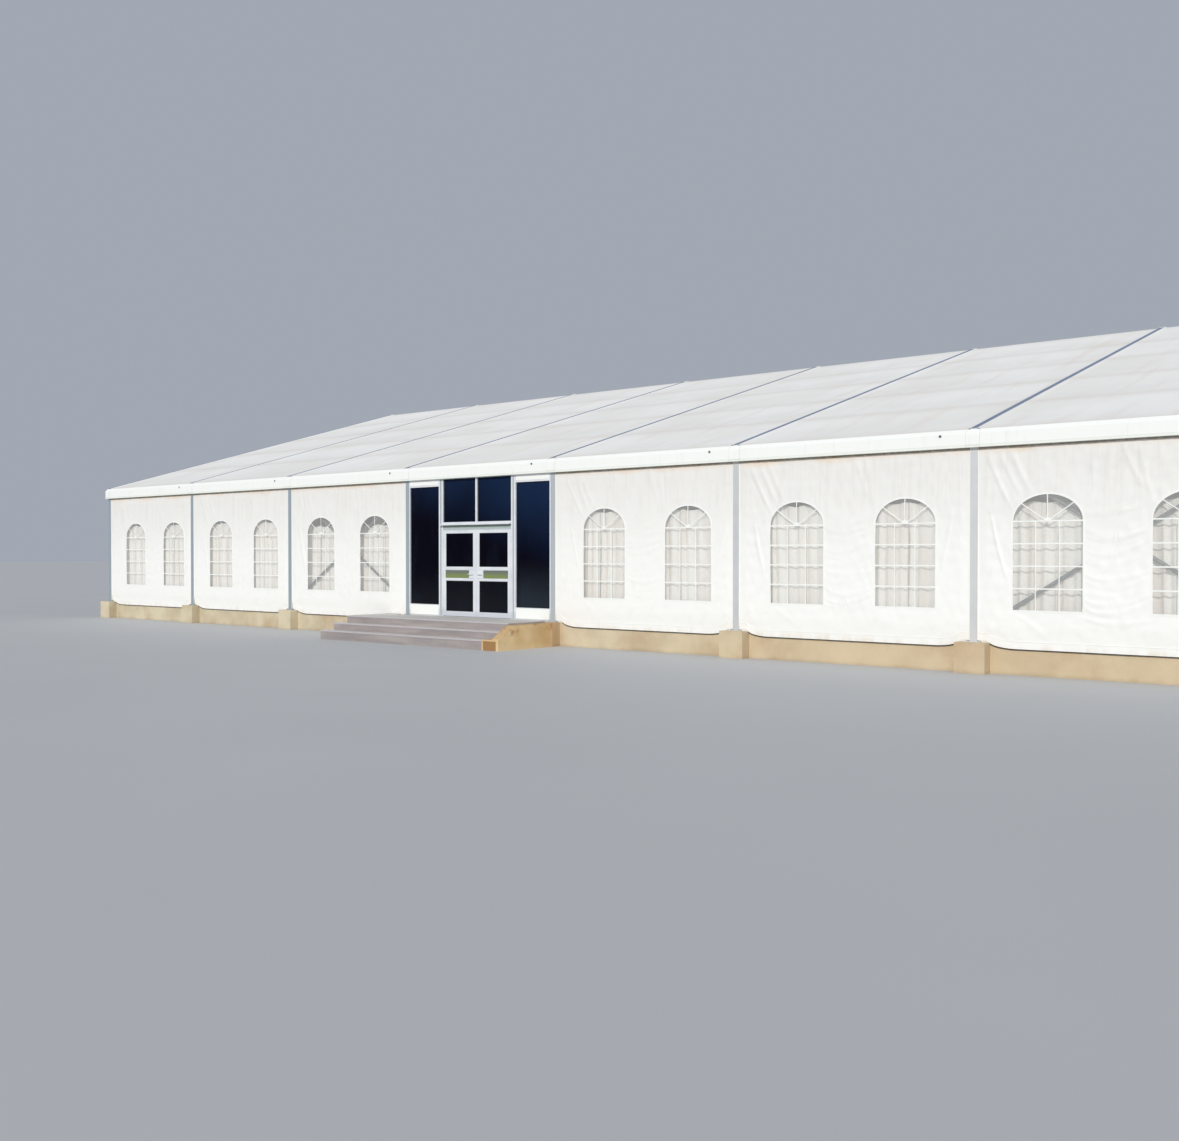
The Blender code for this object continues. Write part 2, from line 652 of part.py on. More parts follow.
def make_lining():
    """The curtain that hangs inside the legs all round, open behind the entrance."""
    outer_x = HALF_LENGTH - LEG_WIDTH / 2 - FIT
    outer_y = LEG_INNER - FIT
    inner_x = outer_x - SHEET_THICKNESS
    inner_y = outer_y - SHEET_THICKNESS
    open_left = FRAME_XS[ENTRANCE_BAY] + LEG_WIDTH / 2
    open_right = FRAME_XS[ENTRANCE_BAY + 1] - LEG_WIDTH / 2
    loop = [
        (open_right, -outer_y), (outer_x, -outer_y), (outer_x, outer_y), (-outer_x, outer_y),
        (-outer_x, -outer_y), (open_left, -outer_y), (open_left, -inner_y), (-inner_x, -inner_y),
        (-inner_x, inner_y), (inner_x, inner_y), (inner_x, -inner_y), (open_right, -inner_y),
    ]
    low = FLOOR_TOP + FIT
    lift = Matrix.Translation((0, 0, (low + LINING_TOP) / 2))
    new_object("wall_lining", outline_mesh("wall_lining", [loop], LINING_TOP - low, lift), CURTAIN)


def make_brace(name, bay, side):
    """Two crossed tubes between the legs of a bay, from foot to head of each leg."""
    left = FRAME_XS[bay] + LEG_WIDTH / 2 + FIT
    right = FRAME_XS[bay + 1] - LEG_WIDTH / 2 - FIT
    bottom = PLINTH_TOP + BRACE_RISE
    top = EAVE_TOP - BRACE_DROP
    y = side * (HALF_SPAN - BRACE_SET_BACK)
    middle = Vector(((left + right) / 2, y, (bottom + top) / 2))
    run = Vector((right - left, 0, top - bottom))
    tubes = []
    for sign, twist in ((1, 0.0), (-1, math.pi / BRACE_SIDES)):
        along = Vector((run.x, 0, sign * run.z))
        turn = along.to_track_quat("Z", "Y").to_matrix().to_4x4() @ Matrix.Rotation(twist, 4, "Z")
        shape = bmesh.new()
        bmesh.ops.create_cone(
            shape, cap_ends=True, segments=BRACE_SIDES, radius1=BRACE_DIAMETER / 2,
            radius2=BRACE_DIAMETER / 2, depth=along.length + 2 * BRACE_DIAMETER,
            matrix=Matrix.Translation(middle) @ turn,
        )
        mesh = bpy.data.meshes.new(name)
        shape.to_mesh(mesh)
        shape.free()
        tubes.append(mesh)
    brace = new_object(name, tubes[0], ALUMINIUM)
    room = Vector((0, BRACE_DIAMETER, RIDGE_TOP))
    clip = box(f"{name}_clip", Vector((left, y, 0)) - room, Vector((right, y, 0)) + room)
    cross = new_object(f"{name}_cross", tubes[1])
    combine(cross, clip, "INTERSECT")
    combine(brace, clip, "INTERSECT")
    combine(brace, cross, "UNION")


def make_braces():
    """Crossed braces in the stated bays, front and back."""
    for number, bay in enumerate(BRACE_BAYS, start=1):
        make_brace(f"wall_brace_front_{number}", bay, -1)
        make_brace(f"wall_brace_back_{number}", bay, 1)


def entrance_openings():
    """The openings of the entrance frame, each by name, relative to its middle."""
    half = BAY_LENGTH / 2 - LEG_WIDTH / 2 - FIT
    door = DOORWAY_WIDTH / 2
    side_in = door + MULLION_WIDTH
    side_out = half - JAMB_WIDTH
    middle = TRANSOM_MULLION / 2
    kick_top = FLOOR_TOP + KICK_HEIGHT
    side_top = WALL_TOP - SIDELIGHT_HEAD_HEIGHT
    head = WALL_TOP - HEAD_HEIGHT
    return {
        "sidelight_left": rectangle(-side_out, -side_in, kick_top, side_top),
        "sidelight_right": rectangle(side_in, side_out, kick_top, side_top),
        "transom_left": rectangle(-door, -middle, HEADER_TOP, head),
        "transom_right": rectangle(middle, door, HEADER_TOP, head),
        "doorway": rectangle(-door, door, FLOOR_TOP, HEADER_BOTTOM),
    }


def make_entrance():
    """Entrance frame, its fixed panes, and the two door leaves that open outwards."""
    half = BAY_LENGTH / 2 - LEG_WIDTH / 2 - FIT
    plate_edge = BAY_LENGTH / 2 - BASE_PLATE_WIDTH / 2 - FIT
    foot = PLINTH_TOP + FIT
    over_plate = foot + BASE_PLATE_THICKNESS + FIT
    place = Matrix.Translation((ENTRANCE_X, -LEG_OUTER + FRAME_DEPTH / 2, 0)) @ FACING_FRONT
    mesh = outline_mesh("entrance_frame", [rectangle(-half, half, foot, WALL_TOP)], FRAME_DEPTH, place)
    frame = new_object("entrance_frame", mesh, DOOR_WHITE)
    openings = entrance_openings()
    cuts = list(openings.values())
    cuts.append(rectangle(-half - plate_edge, -plate_edge, foot - BASE_PLATE_THICKNESS, over_plate))
    cuts.append(rectangle(plate_edge, half + plate_edge, foot - BASE_PLATE_THICKNESS, over_plate))
    cutter = outline_mesh("entrance_cuts", cuts, 3 * FRAME_DEPTH, place)
    combine(frame, new_object("entrance_cuts", cutter), "DIFFERENCE")
    openings.pop("doorway")
    for name, opening in openings.items():
        (left, bottom), (right, top) = opening[0], opening[2]
        pane = rectangle(left + FIT, right - FIT, bottom + FIT, top - FIT)
        new_object(name, outline_mesh(name, [pane], GLASS_THICKNESS, place), DARK_GLASS)
    make_leaf("left", -1, frame)
    make_leaf("right", 1, frame)


def add_hinge(target, name, axis, low, high, side):
    """A knuckle on the axis, and the flange that ties it to the face beside it."""
    shape = bmesh.new()
    middle = Matrix.Translation(axis + Vector((0, 0, (low + high) / 2)))
    bmesh.ops.create_cone(
        shape, cap_ends=True, segments=16, radius1=HINGE_RADIUS, radius2=HINGE_RADIUS,
        depth=high - low, matrix=middle,
    )
    mesh = bpy.data.meshes.new(name)
    shape.to_mesh(mesh)
    shape.free()
    near, far = sorted((side * RUNNING_GAP, side * HINGE_FLANGE))
    sunk = HINGE_OFFSET + HINGE_SINK
    flange = box(f"{name}_flange", axis + Vector((near, 0, low)), axis + Vector((far, sunk, high)))
    combine(flange, new_object(f"{name}_knuckle", mesh), "UNION")
    combine(target, flange, "UNION")


def make_leaf(word, side, frame):
    """One door leaf on its hinge axis, with its glass, and the hinges' fixed knuckles."""
    hinge_x = ENTRANCE_X + side * (DOORWAY_WIDTH / 2 - RUNNING_GAP / 2)
    axis = Vector((hinge_x, -LEG_OUTER - HINGE_OFFSET, 0.0))
    left, right = sorted((-side * RUNNING_GAP / 2, side * (RUNNING_GAP - DOORWAY_WIDTH / 2)))
    bottom = FLOOR_TOP + LEAF_CLEARANCE
    top = HEADER_BOTTOM - RUNNING_GAP
    in_left = left + STILE_WIDTH
    in_right = right - STILE_WIDTH
    sill = bottom + LEAF_BOTTOM_RAIL
    head = top - LEAF_TOP_RAIL
    rail_low = FLOOR_TOP + LEAF_MID_RISE
    rail_high = rail_low + LEAF_MID_RAIL
    loops = [
        rectangle(left, right, bottom, top),
        rectangle(in_left, in_right, sill, rail_low),
        rectangle(in_left, in_right, rail_high, head),
    ]
    stand = Matrix.Translation((0, HINGE_OFFSET + LEAF_THICKNESS / 2, 0)) @ FACING_FRONT
    name = f"door_leaf_{word}"
    leaf = new_object(name, outline_mesh(name, loops, LEAF_THICKNESS, stand), DOOR_WHITE)
    leaf.location = axis

    pane = rectangle(in_left + FIT, in_right - FIT, sill + FIT, head - FIT)
    glass_name = f"door_glass_{word}"
    glass = new_object(glass_name, outline_mesh(glass_name, [pane], GLASS_THICKNESS, stand), DARK_GLASS)
    glass.location = axis
    rail = rectangle(in_left - FIT, in_right + FIT, rail_low - FIT, rail_high + FIT)
    groove = outline_mesh("rail_groove", [rail], GLASS_THICKNESS + 2 * FIT, Matrix.Translation(axis) @ stand)
    combine(leaf, new_object(f"{name}_groove", groove), "DIFFERENCE")

    for number in range(HINGE_COUNT):
        height = FLOOR_TOP + HINGE_LOWEST + number * HINGE_SPACING
        fixed = (height - HINGE_LENGTH, height)
        moving = (height + HINGE_GAP, height + HINGE_GAP + HINGE_LENGTH)
        add_hinge(frame, f"frame_hinge_{word}_{number + 1}", axis, *fixed, side)
        add_hinge(leaf, f"leaf_hinge_{word}_{number + 1}", axis, *moving, -side)


make_plinth()
make_steps()
make_walls()
make_frames(make_roof_bars(), make_grooves())
make_covers()
make_fascias()
make_lining()
make_braces()
make_entrance()
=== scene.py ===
# %% [markdown]
# A clearspan marquee: seven bays of 5 m, 25 m across, aluminium portal frames with coated
# fabric stretched between them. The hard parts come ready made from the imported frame. This
# lesson adds what is soft or small (wall sheets, windows, curtains, roof covers, trim) and
# gives every surface its finish. Lengths are in metres, and the ground is z = 0.

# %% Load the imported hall
import json
import math

import bpy
import numpy as np
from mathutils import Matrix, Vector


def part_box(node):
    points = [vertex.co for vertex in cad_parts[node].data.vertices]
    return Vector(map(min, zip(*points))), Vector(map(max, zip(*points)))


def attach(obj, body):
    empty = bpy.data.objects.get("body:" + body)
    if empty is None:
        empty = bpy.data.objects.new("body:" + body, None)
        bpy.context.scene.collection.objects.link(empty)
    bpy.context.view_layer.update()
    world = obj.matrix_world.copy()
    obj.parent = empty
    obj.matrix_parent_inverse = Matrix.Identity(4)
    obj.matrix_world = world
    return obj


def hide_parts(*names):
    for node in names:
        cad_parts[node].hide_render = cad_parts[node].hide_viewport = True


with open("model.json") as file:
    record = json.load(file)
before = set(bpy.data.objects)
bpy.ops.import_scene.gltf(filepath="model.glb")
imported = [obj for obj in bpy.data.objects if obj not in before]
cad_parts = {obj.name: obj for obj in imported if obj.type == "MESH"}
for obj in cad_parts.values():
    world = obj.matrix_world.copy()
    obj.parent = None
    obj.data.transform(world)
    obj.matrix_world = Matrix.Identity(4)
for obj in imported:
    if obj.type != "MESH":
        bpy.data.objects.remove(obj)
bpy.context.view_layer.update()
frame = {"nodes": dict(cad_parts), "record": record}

nodes = frame["nodes"]

# %% [markdown]
# The camera stands where the photographer stood: off the right end of the front wall, at
# eye height, looking along it. Its place was worked out from the legs of the frames, which
# are known to be 5 m apart.

# %% Camera
def add(name, data):
    """A new object in the scene."""
    made = bpy.data.objects.new(name, data)
    bpy.context.scene.collection.objects.link(made)
    return made


camera_data = bpy.data.cameras.new("camera")
camera_data.sensor_width = 36.0
camera_data.lens = 36.31
camera = add("camera", camera_data)
camera.location = (20.741, -33.266, 2.092)
camera.rotation_euler = (math.radians(89.29), 0.0, math.radians(39.59))
bpy.context.scene.camera = camera
print("camera at", tuple(round(v, 2) for v in camera.location))

# %% [markdown]
# The hall was built to a handful of sizes. They are repeated here because the surfaces
# below are computed from them: frames stand every 5 m, a leg is 13 cm wide, and the wall
# fabric runs in grooves along the outside of the legs.

# %% Sizes of the hall
BAY = 5.0
HALF_LENGTH = 17.5
HALF_SPAN = 12.5
LEG_FACE = 0.0655
CORNER_LEG = 0.2303
INNER_HALF = BAY / 2 - LEG_FACE
FRAME_XS = np.arange(-HALF_LENGTH, HALF_LENGTH + 0.1, BAY)
POST_YS = np.array([-7.5, -2.5, 2.5, 7.5])
PLINTH_TOP = 0.55
FLOOR_TOP = 0.58
HEM_Z = 0.45
NOTCH_TOP = 0.578
WALL_TOP = 4.148
GABLE_WALL_TOP = 3.958
RIDGE_TOP = 8.01
SLOPE_FOOT = 4.38
SLOPE = math.atan((RIDGE_TOP - SLOPE_FOOT) / HALF_SPAN)
LEG_OUTER = 12.55
FASCIA_FACE = 12.6203
FASCIA_FOOT = 4.02
FASCIA_END = 17.6445
CAP_HALF = 0.13
WINDOW_HALF = 0.605
WINDOW_OFFSET = 1.14
SILL = 1.13
SPRING = 2.69
RISE = 0.475
FRONT_SHIFTS = {0: 0.30, 1: 0.20, 2: 0.05, 4: 0.16, 5: 0.05, 6: -0.07}
BRACE_BAYS = (2, 6)
PURLIN_SPACING = 2.5
CLOTH_THICKNESS = 0.002
print("frames at", FRAME_XS, "slope", round(math.degrees(SLOPE), 1))


# %% [markdown]
# Every new piece is a grid of points. A few helpers are enough: the quads of a grid, a weld
# that merges points lying on each other, a thickness that closes an open sheet, and a
# section carried along a path for bars and rods. Row direction times column direction
# always points to the outside.

# %% Grids, welds and thickness
UP = (0, 0, 1)


def stacked(*axes):
    """One row for each point, from grids of coordinates and single numbers."""
    return np.stack(np.broadcast_arrays(*axes), -1).reshape(-1, len(axes))


def grid_quads(rows, columns, closed=False):
    """Quads (i, j), (i+1, j), (i+1, j+1), (i, j+1) of a grid numbered row by row."""
    across = columns if closed else columns - 1
    i, j = np.meshgrid(np.arange(rows - 1), np.arange(across), indexing="ij")
    near = (j + 1) % columns
    quads = np.stack([i * columns + j, (i + 1) * columns + j,
                      (i + 1) * columns + near, i * columns + near], -1)
    return quads.reshape(-1, 4)


def weld(points, quads, uv):
    """Merge points that agree to a tenth of a millimetre, and renumber the quads."""
    _, first, index = np.unique(np.round(points, 4), axis=0, return_index=True,
                                return_inverse=True)
    return points[first], index.ravel()[quads], uv[first]


def thicken(points, quads, uv, shift):
    """Close a sheet: a second layer moved by shift, turned round, and a rim of quads.

    A rim edge is one that only one quad uses, so a-b is there and b-a isn't."""
    count = len(points)
    a = quads.ravel()
    b = np.roll(quads, -1, axis=1).ravel()
    lone = ~np.isin(a * count + b, b * count + a)
    rim = np.stack([b[lone], a[lone], a[lone] + count, b[lone] + count], -1)
    both = np.concatenate([quads, quads[:, ::-1] + count, rim])
    return np.concatenate([points, points + shift]), both, np.concatenate([uv, uv])


def join(parts):
    """One mesh from several (points, quads): the quads' numbers move up by the points so far."""
    starts = np.cumsum([0] + [len(p) for p, _ in parts[:-1]])
    points = np.concatenate([p for p, _ in parts])
    return points, np.concatenate([q + s for (_, q), s in zip(parts, starts)])


def carry(path, profile, up):
    """A closed profile carried along a path.

    A corner lies at path + side * profile[0] + lift * profile[1], with side = way x up and
    lift = side x way. The profile is given turning from left to up, and both ends are shut."""
    path = np.asarray(path, float)
    profile = np.asarray(profile, float)
    way = np.gradient(path, axis=0)
    way /= np.linalg.norm(way, axis=1, keepdims=True)
    side = np.cross(way, np.broadcast_to(np.asarray(up, float), way.shape))
    side /= np.linalg.norm(side, axis=1, keepdims=True)
    lift = np.cross(side, way)
    points = (path[:, None] + side[:, None] * profile[None, :, :1]
              + lift[:, None] * profile[None, :, 1:])
    count = len(profile)
    j = np.arange(count // 2 - 1)
    start = np.stack([j, j + 1, count - 2 - j, count - 1 - j], -1)
    end = start[:, ::-1] + (len(path) - 1) * count
    quads = np.concatenate([grid_quads(len(path), count, closed=True), start, end])
    return points.reshape(-1, 3), quads


def rectangle(width, height):
    """The four corners of a bar's section, centred on its path."""
    w, h = width / 2, height / 2
    return [(-w, -h), (-w, h), (w, h), (w, -h)]


def rod(radius, sides=8):
    """The corners of a round section: radius * (-cos a, sin a)."""
    a = (np.arange(sides) + 0.5) * 2 * np.pi / sides
    return np.stack([-np.cos(a) * radius, np.sin(a) * radius], -1)


def slab(low, high):
    """A straight bar that fills the space from one corner to the other."""
    low, high = np.asarray(low, float), np.asarray(high, float)
    middle = (low + high) / 2
    path = [(low[0], middle[1], middle[2]), (high[0], middle[1], middle[2])]
    return carry(path, rectangle(high[1] - low[1], high[2] - low[2]), UP)


def piece(name, points, quads, material, slot, body="tent", uv=None, bevel=0.0, sharp=35):
    """Put a mesh in the scene, let it ride on a body, and give it its material; slot is not used.
    """
    mesh = bpy.data.meshes.new(name)
    mesh.from_pydata(points.tolist(), [], quads.tolist())
    if uv is not None:
        layer = mesh.uv_layers.new(name="cut")
        layer.data.foreach_set("uv", uv[quads.ravel()].ravel())
    mesh.polygons.foreach_set("use_smooth", np.ones(len(quads), bool))
    mesh.set_sharp_from_angle(angle=math.radians(sharp))
    made = add(name, mesh)
    if bevel:
        edge = made.modifiers.new("edge", "BEVEL")
        edge.width = bevel
        edge.segments = 2
        edge.limit_method = "ANGLE"
    mesh.materials.append(material)
    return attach(made, body)


def closed_sheet(name, grid, shift, material, slot, old, sharp=35):
    """A sheet of (points, quads, uv) made thick by shift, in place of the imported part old."""
    points, quads, uv = thicken(*grid, shift)
    made = piece(name, points, quads, material, slot, uv=uv, sharp=sharp)
    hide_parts(old)
    return made


print("helpers ready")

# %% [markdown]
# A finish is a few nodes. Writing them as sums and products is easier to read than wiring,
# so one small class holds a socket: arithmetic on it adds Math nodes, and node() adds any
# other. Patterns read the Object coordinates, so they stay put on the piece.

# %% Shader sums
def colour(red, green, blue):
    """A colour from its 0 to 255 screen values, made linear for the shader."""
    screen = np.array([red, green, blue]) / 255
    linear = np.where(screen <= 0.04045, screen / 12.92, ((screen + 0.055) / 1.055) ** 2.4)
    return (*map(float, linear), 1.0)


class Wire:
    """One output socket of a material."""

    def __init__(self, tree, socket):
        self.tree = tree
        self.socket = socket

    def into(self, node, sockets):
        """Give each socket of a node its value, or a link where the value is a wire."""
        for key, value in sockets.items():
            if isinstance(value, Wire):
                self.tree.links.new(value.socket, node.inputs[key])
            else:
                node.inputs[key].default_value = value

    def node(self, kind, settings, sockets, output=0):
        """Add a node: its settings first, then its sockets."""
        made = self.tree.nodes.new(kind)
        for name, value in settings.items():
            setattr(made, name, value)
        self.into(made, sockets)
        return Wire(self.tree, made.outputs[output])

    def maths(self, operation, *others):
        """A Math node on this wire and others."""
        sockets = dict(enumerate((self, *others)))
        return self.node("ShaderNodeMath", {"operation": operation}, sockets)

    def __add__(self, other):
        return self.maths("ADD", other)

    __radd__ = __add__

    def __mul__(self, other):
        return self.maths("MULTIPLY", other)

    __rmul__ = __mul__

    def __sub__(self, other):
        return self.maths("SUBTRACT", other)

    def __rsub__(self, other):
        return self.node("ShaderNodeMath", {"operation": "SUBTRACT"}, {0: other, 1: self})

    def axis(self, index):
        """The x, y or z of a vector."""
        return self.node("ShaderNodeSeparateXYZ", {}, {0: self}, index)

    def stretched(self, x, y, z):
        """The same coordinates, each axis multiplied."""
        return self.node("ShaderNodeMapping", {}, {"Vector": self, "Scale": (x, y, z)})

    def noise(self, scale, detail):
        """Smooth random patches from 0 to 1."""
        sockets = {"Vector": self, "Scale": scale, "Detail": detail, "Roughness": 0.55}
        return self.node("ShaderNodeTexNoise", {}, sockets)

    def between(self, low, high):
        """0 below low, 1 above high, and a smooth step between them."""
        settings = {"interpolation_type": "SMOOTHSTEP"}
        return self.node("ShaderNodeMapRange", settings, {0: self, 1: low, 2: high})

    def mix(self, *pair):
        """The first of a pair where the wire is 0, the second where it is 1.

        Each is a wire or the 0 to 255 values of a colour."""
        first, second = (c if isinstance(c, Wire) else colour(*c) for c in pair)
        sockets = {0: self, 6: first, 7: second}
        return self.node("ShaderNodeMix", {"data_type": "RGBA"}, sockets, 2)


def finish(name, looks):
    """A material whose Principled sockets are what looks(place) gives.

    Height, in metres, isn't a socket of the shader: it goes through a Bump node."""
    material = bpy.data.materials.new(name)
    material.use_nodes = True
    tree = material.node_tree
    tree.nodes.clear()
    shader = tree.nodes.new("ShaderNodeBsdfPrincipled")
    output = tree.nodes.new("ShaderNodeOutputMaterial")
    tree.links.new(shader.outputs[0], output.inputs["Surface"])
    place = Wire(tree, tree.nodes.new("ShaderNodeTexCoord").outputs["Object"])
    values = looks(place)
    height = values.pop("Height", None)
    if height is not None:
        sockets = {"Height": height, "Strength": 1.0, "Distance": 1.0}
        values["Normal"] = place.node("ShaderNodeBump", {}, sockets)
    place.into(shader, values)
    return material


def plain(name, noise, tones, rough, height, metallic=0.0):
    """A finish of one noise, which mixes two tones and varies the roughness and height."""
    def looks(place):
        patches = place.noise(*noise)
        return {"Base Color": patches.mix(*tones), "Metallic": metallic,
                "Roughness": rough[0] + patches * rough[1], "Height": patches * height}

    return finish(name, looks)


print("shader helpers ready")

# %% [markdown]
# The wall fabric is white coated cloth with a satin face. It is whitest low down, a little
# greyer and pinker above, has a peach water stain under the fascia, and a trace of soil
# splashed up from the plinth. The dark line right under the fascia and the greyer pleats
# high up are painted shade.

# %% Coated fabrics
def wall_looks(place):
    """White cloth, stained under the eave and along the hem, with painted shade under the fascia
    and on the upper pleats.
    """
    z = place.axis(2)
    patches = place.noise(1.1, 4.0)
    streaks = place.stretched(3.0, 3.0, 0.25).noise(2.2, 4.0)
    tone = z.between(1.6, 3.9).mix((249, 248, 243), (238, 236, 231))
    eave = place.axis(1).maths("ABSOLUTE").between(HALF_SPAN - 0.08, HALF_SPAN - 0.04)
    stain = (z + patches * 0.3).between(4.0, 4.24) * streaks.between(0.1, 0.5)
    tone = (stain * eave * 0.9).mix(tone, (232, 204, 174))
    # A dark olive line just under the fascia: painted shade standing in for the fascia's shadow.
    fascia_shadow_line = (z + streaks * 0.03).between(FASCIA_FOOT - 0.025, FASCIA_FOOT - 0.01)
    tone = (fascia_shadow_line * eave * 0.75).mix(tone, (116, 108, 86))
    soil = (1 - (z + patches * 0.2).between(0.5, 0.72)) * streaks.between(0.35, 0.7)
    tone = (soil * 0.55).mix(tone, (222, 205, 176))
    grime = place.noise(5.0, 6.0).between(0.5, 0.8)
    tone = (grime * 0.12).mix(tone, (208, 204, 196))
    pleats = place.stretched(1.0, 1.0, 0.05).noise(14.0, 3.0)
    weave = place.noise(420.0, 1.0)
    upper = z.between(2.4, 3.6)
    # Greyer along the upper pleats: painted shade of the folds.
    tone = (pleats.between(0.45, 0.7) * upper * 0.3).mix(tone, (224, 219, 210))
    return {"Base Color": tone, "Roughness": 0.42 + patches * 0.16, "IOR": 1.45,
            "Height": weave * 0.00012 + patches * 0.001 + pleats * upper * 0.004}


def roof_looks(place):
    """Warm white cloth with run marks down the slope, painted shade along the purlins and a faint
    line over each.
    """
    patches = place.noise(0.5, 4.0)
    runs = place.stretched(2.6, 0.16, 0.16).noise(1.4, 5.0)
    tone = patches.between(0.3, 0.7).mix((245, 242, 236), (251, 249, 245))
    tone = (runs.between(0.5, 0.75) * 0.5).mix(tone, (240, 230, 218))
    away = place.axis(1).maths("ABSOLUTE") * (1 / PURLIN_SPACING)
    reach = away.maths("FRACT").maths("PINGPONG", 0.5)
    # A soft band along each purlin is darkened: painted shade where the cloth rides over it.
    soft = 1 - reach.between(0.0, 0.2)
    tone = (soft * 0.35).mix(tone, (233, 225, 216))
    line = 1 - reach.between(0.005, 0.016)
    tone = (line * 0.25).mix(tone, (212, 206, 204))
    weave = place.noise(420.0, 1.0)
    return {"Base Color": tone, "Roughness": 0.5 + patches * 0.15, "IOR": 1.45,
            "Height": weave * 0.00012 + runs * 0.0015}


def trim_looks(place):
    """Clean white cloth and caps: the fascia's lower lip is greyed with painted shade, and it has
    joints by the legs.
    """
    patches = place.noise(2.0, 4.0)
    streaks = place.stretched(6.0, 6.0, 0.6).noise(2.0, 3.0)
    tone = (streaks.between(0.55, 0.8) * 0.25).mix((247, 248, 243), (222, 216, 206))
    z = place.axis(2)
    over_foot = z.between(FASCIA_FOOT - 0.01, FASCIA_FOOT)
    # The fascia's lower lip is greyed: painted shade on the lip.
    lip = over_foot * (1 - z.between(FASCIA_FOOT + 0.05, FASCIA_FOOT + 0.058))
    tone = (lip * 0.5).mix(tone, (222, 225, 214))
    off = (place.axis(0) * (1 / BAY) + 0.5).maths("PINGPONG", 0.5)
    end = CAP_HALF / BAY
    joint = off.between(end - 0.0012, end - 0.0004)
    joint = joint * (1 - off.between(end + 0.0004, end + 0.0012))
    tone = (joint * over_foot * 0.35).mix(tone, (150, 152, 154))
    return {"Base Color": tone, "Roughness": 0.38 + patches * 0.12, "IOR": 1.45,
            "Height": patches * 0.0006}


def curtain_looks(place):
    """Matt near-white cloth with beige streaks and a soft thread texture."""
    streaks = place.stretched(5.0, 5.0, 0.4).noise(1.0, 4.0)
    thread = place.stretched(1.0, 1.0, 0.2).noise(300.0, 2.0)
    tone = streaks.between(0.3, 0.7).mix((248, 247, 242), (237, 230, 221))
    return {"Base Color": tone, "Roughness": 0.85, "Height": thread * 0.0003}


wall_fabric = finish("wall_fabric", wall_looks)
roof_fabric = finish("roof_fabric", roof_looks)
trim_white = finish("trim_white", trim_looks)
curtain_cloth = finish("curtain_cloth", curtain_looks)
print("cloth finishes ready")


# %% [markdown]
# The windows are clear flexible sheet, and the glass of the entrance is tinted almost black,
# with painted reflections: navy high up and to the right, dark grey lower down.

# %% Clear sheet and glass
def clear_looks(place):
    """Clear sheet, a little milky in places."""
    haze = place.noise(1.6, 4.0)
    return {"Base Color": colour(243, 243, 238), "Alpha": 0.11 + haze * 0.15,
            "Roughness": 0.3 + haze * 0.15, "IOR": 1.45, "Height": haze * 0.004}


def glass_looks(place):
    """Tinted glass, almost black, with painted reflections: navy high up and to the right, dark
    grey lower down.
    """
    z = place.axis(2)
    cloud = place.noise(0.7, 3.0)
    # The navy high up and to the right is a painted reflection of the sky.
    reflection_height = z + place.axis(0) * 0.35 + cloud * 1.2
    tone = reflection_height.between(2.8, 5.3).mix((4, 3, 15), (22, 40, 70))
    # Dark grey lower down, lighter on the right: painted reflection.
    low = 1 - (z + cloud * 0.8).between(1.1, 2.4)
    tone = (low * 0.8).mix(tone, (25, 28, 33))
    tone = (low * place.axis(0).between(1.2, 1.5) * 0.7).mix(tone, (44, 52, 62))
    # Faint streaks of painted sheen.
    sheen = place.stretched(1.0, 1.0, 0.35).noise(2.4, 3.0).between(0.5, 0.7)
    tone = (sheen * 0.08).mix(tone, (38, 48, 64))
    return {"Base Color": tone, "Roughness": 0.06 + cloud * 0.05, "IOR": 1.5,
            "Specular IOR Level": 0.05, "Height": cloud * 0.002}


clear_sheet = finish("clear_sheet", clear_looks)
dark_glass = finish("dark_glass", glass_looks)
print("clear finishes ready")


# %% [markdown]
# The frames are anodised aluminium, light grey and satin, drawn through a die, so the fine
# lines run along each bar. The entrance is powder coated in a pale blue-white. The blue-grey
# of the rafters' rails is a painted reflection of the sky, and the panes sit in black rubber.

# %% Metals and coated metals
def aluminium_looks(place):
    """Satin grey metal with long drawn lines and dull patches, darker and bluer towards the left
    end.
    """
    patches = place.noise(3.0, 5.0)
    lines = place.stretched(60.0, 60.0, 1.2).noise(1.0, 3.0)
    # Darker and bluer towards the left end.
    bright = place.axis(0).between(-6.0, 12.0)
    tone = (patches * 0.7 + lines * 0.3).mix((201, 202, 202), (223, 223, 221))
    tone = (1 - bright).mix(tone, (156, 168, 176))
    return {"Base Color": tone, "Metallic": 0.15, "Roughness": 0.42 + patches * 0.2,
            "Height": lines * 0.0002}


def coated_looks(place):
    """Pale blue-white powder coat with a faint orange-peel skin, darker along the floor."""
    patches = place.noise(2.4, 4.0)
    skin = place.noise(260.0, 2.0)
    tone = patches.between(0.3, 0.7).mix((217, 221, 226), (230, 233, 236))
    # Darker towards the floor.
    low_darkening = 1 - (place.axis(2) + patches * 0.06).between(0.68, 0.84)
    tone = (low_darkening * 0.8).mix(tone, (194, 199, 207))
    return {"Base Color": tone, "Roughness": 0.34 + patches * 0.12, "IOR": 1.5,
            "Coat Weight": 0.15, "Height": skin * 0.00012}


def brace_looks(place):
    """Dull galvanised tube with darker spangle."""
    spangle = place.noise(40.0, 4.0)
    tone = spangle.between(0.35, 0.65).mix((92, 98, 104), (122, 128, 134))
    return {"Base Color": tone, "Metallic": 0.3, "Roughness": 0.55, "Height": spangle * 0.0003}


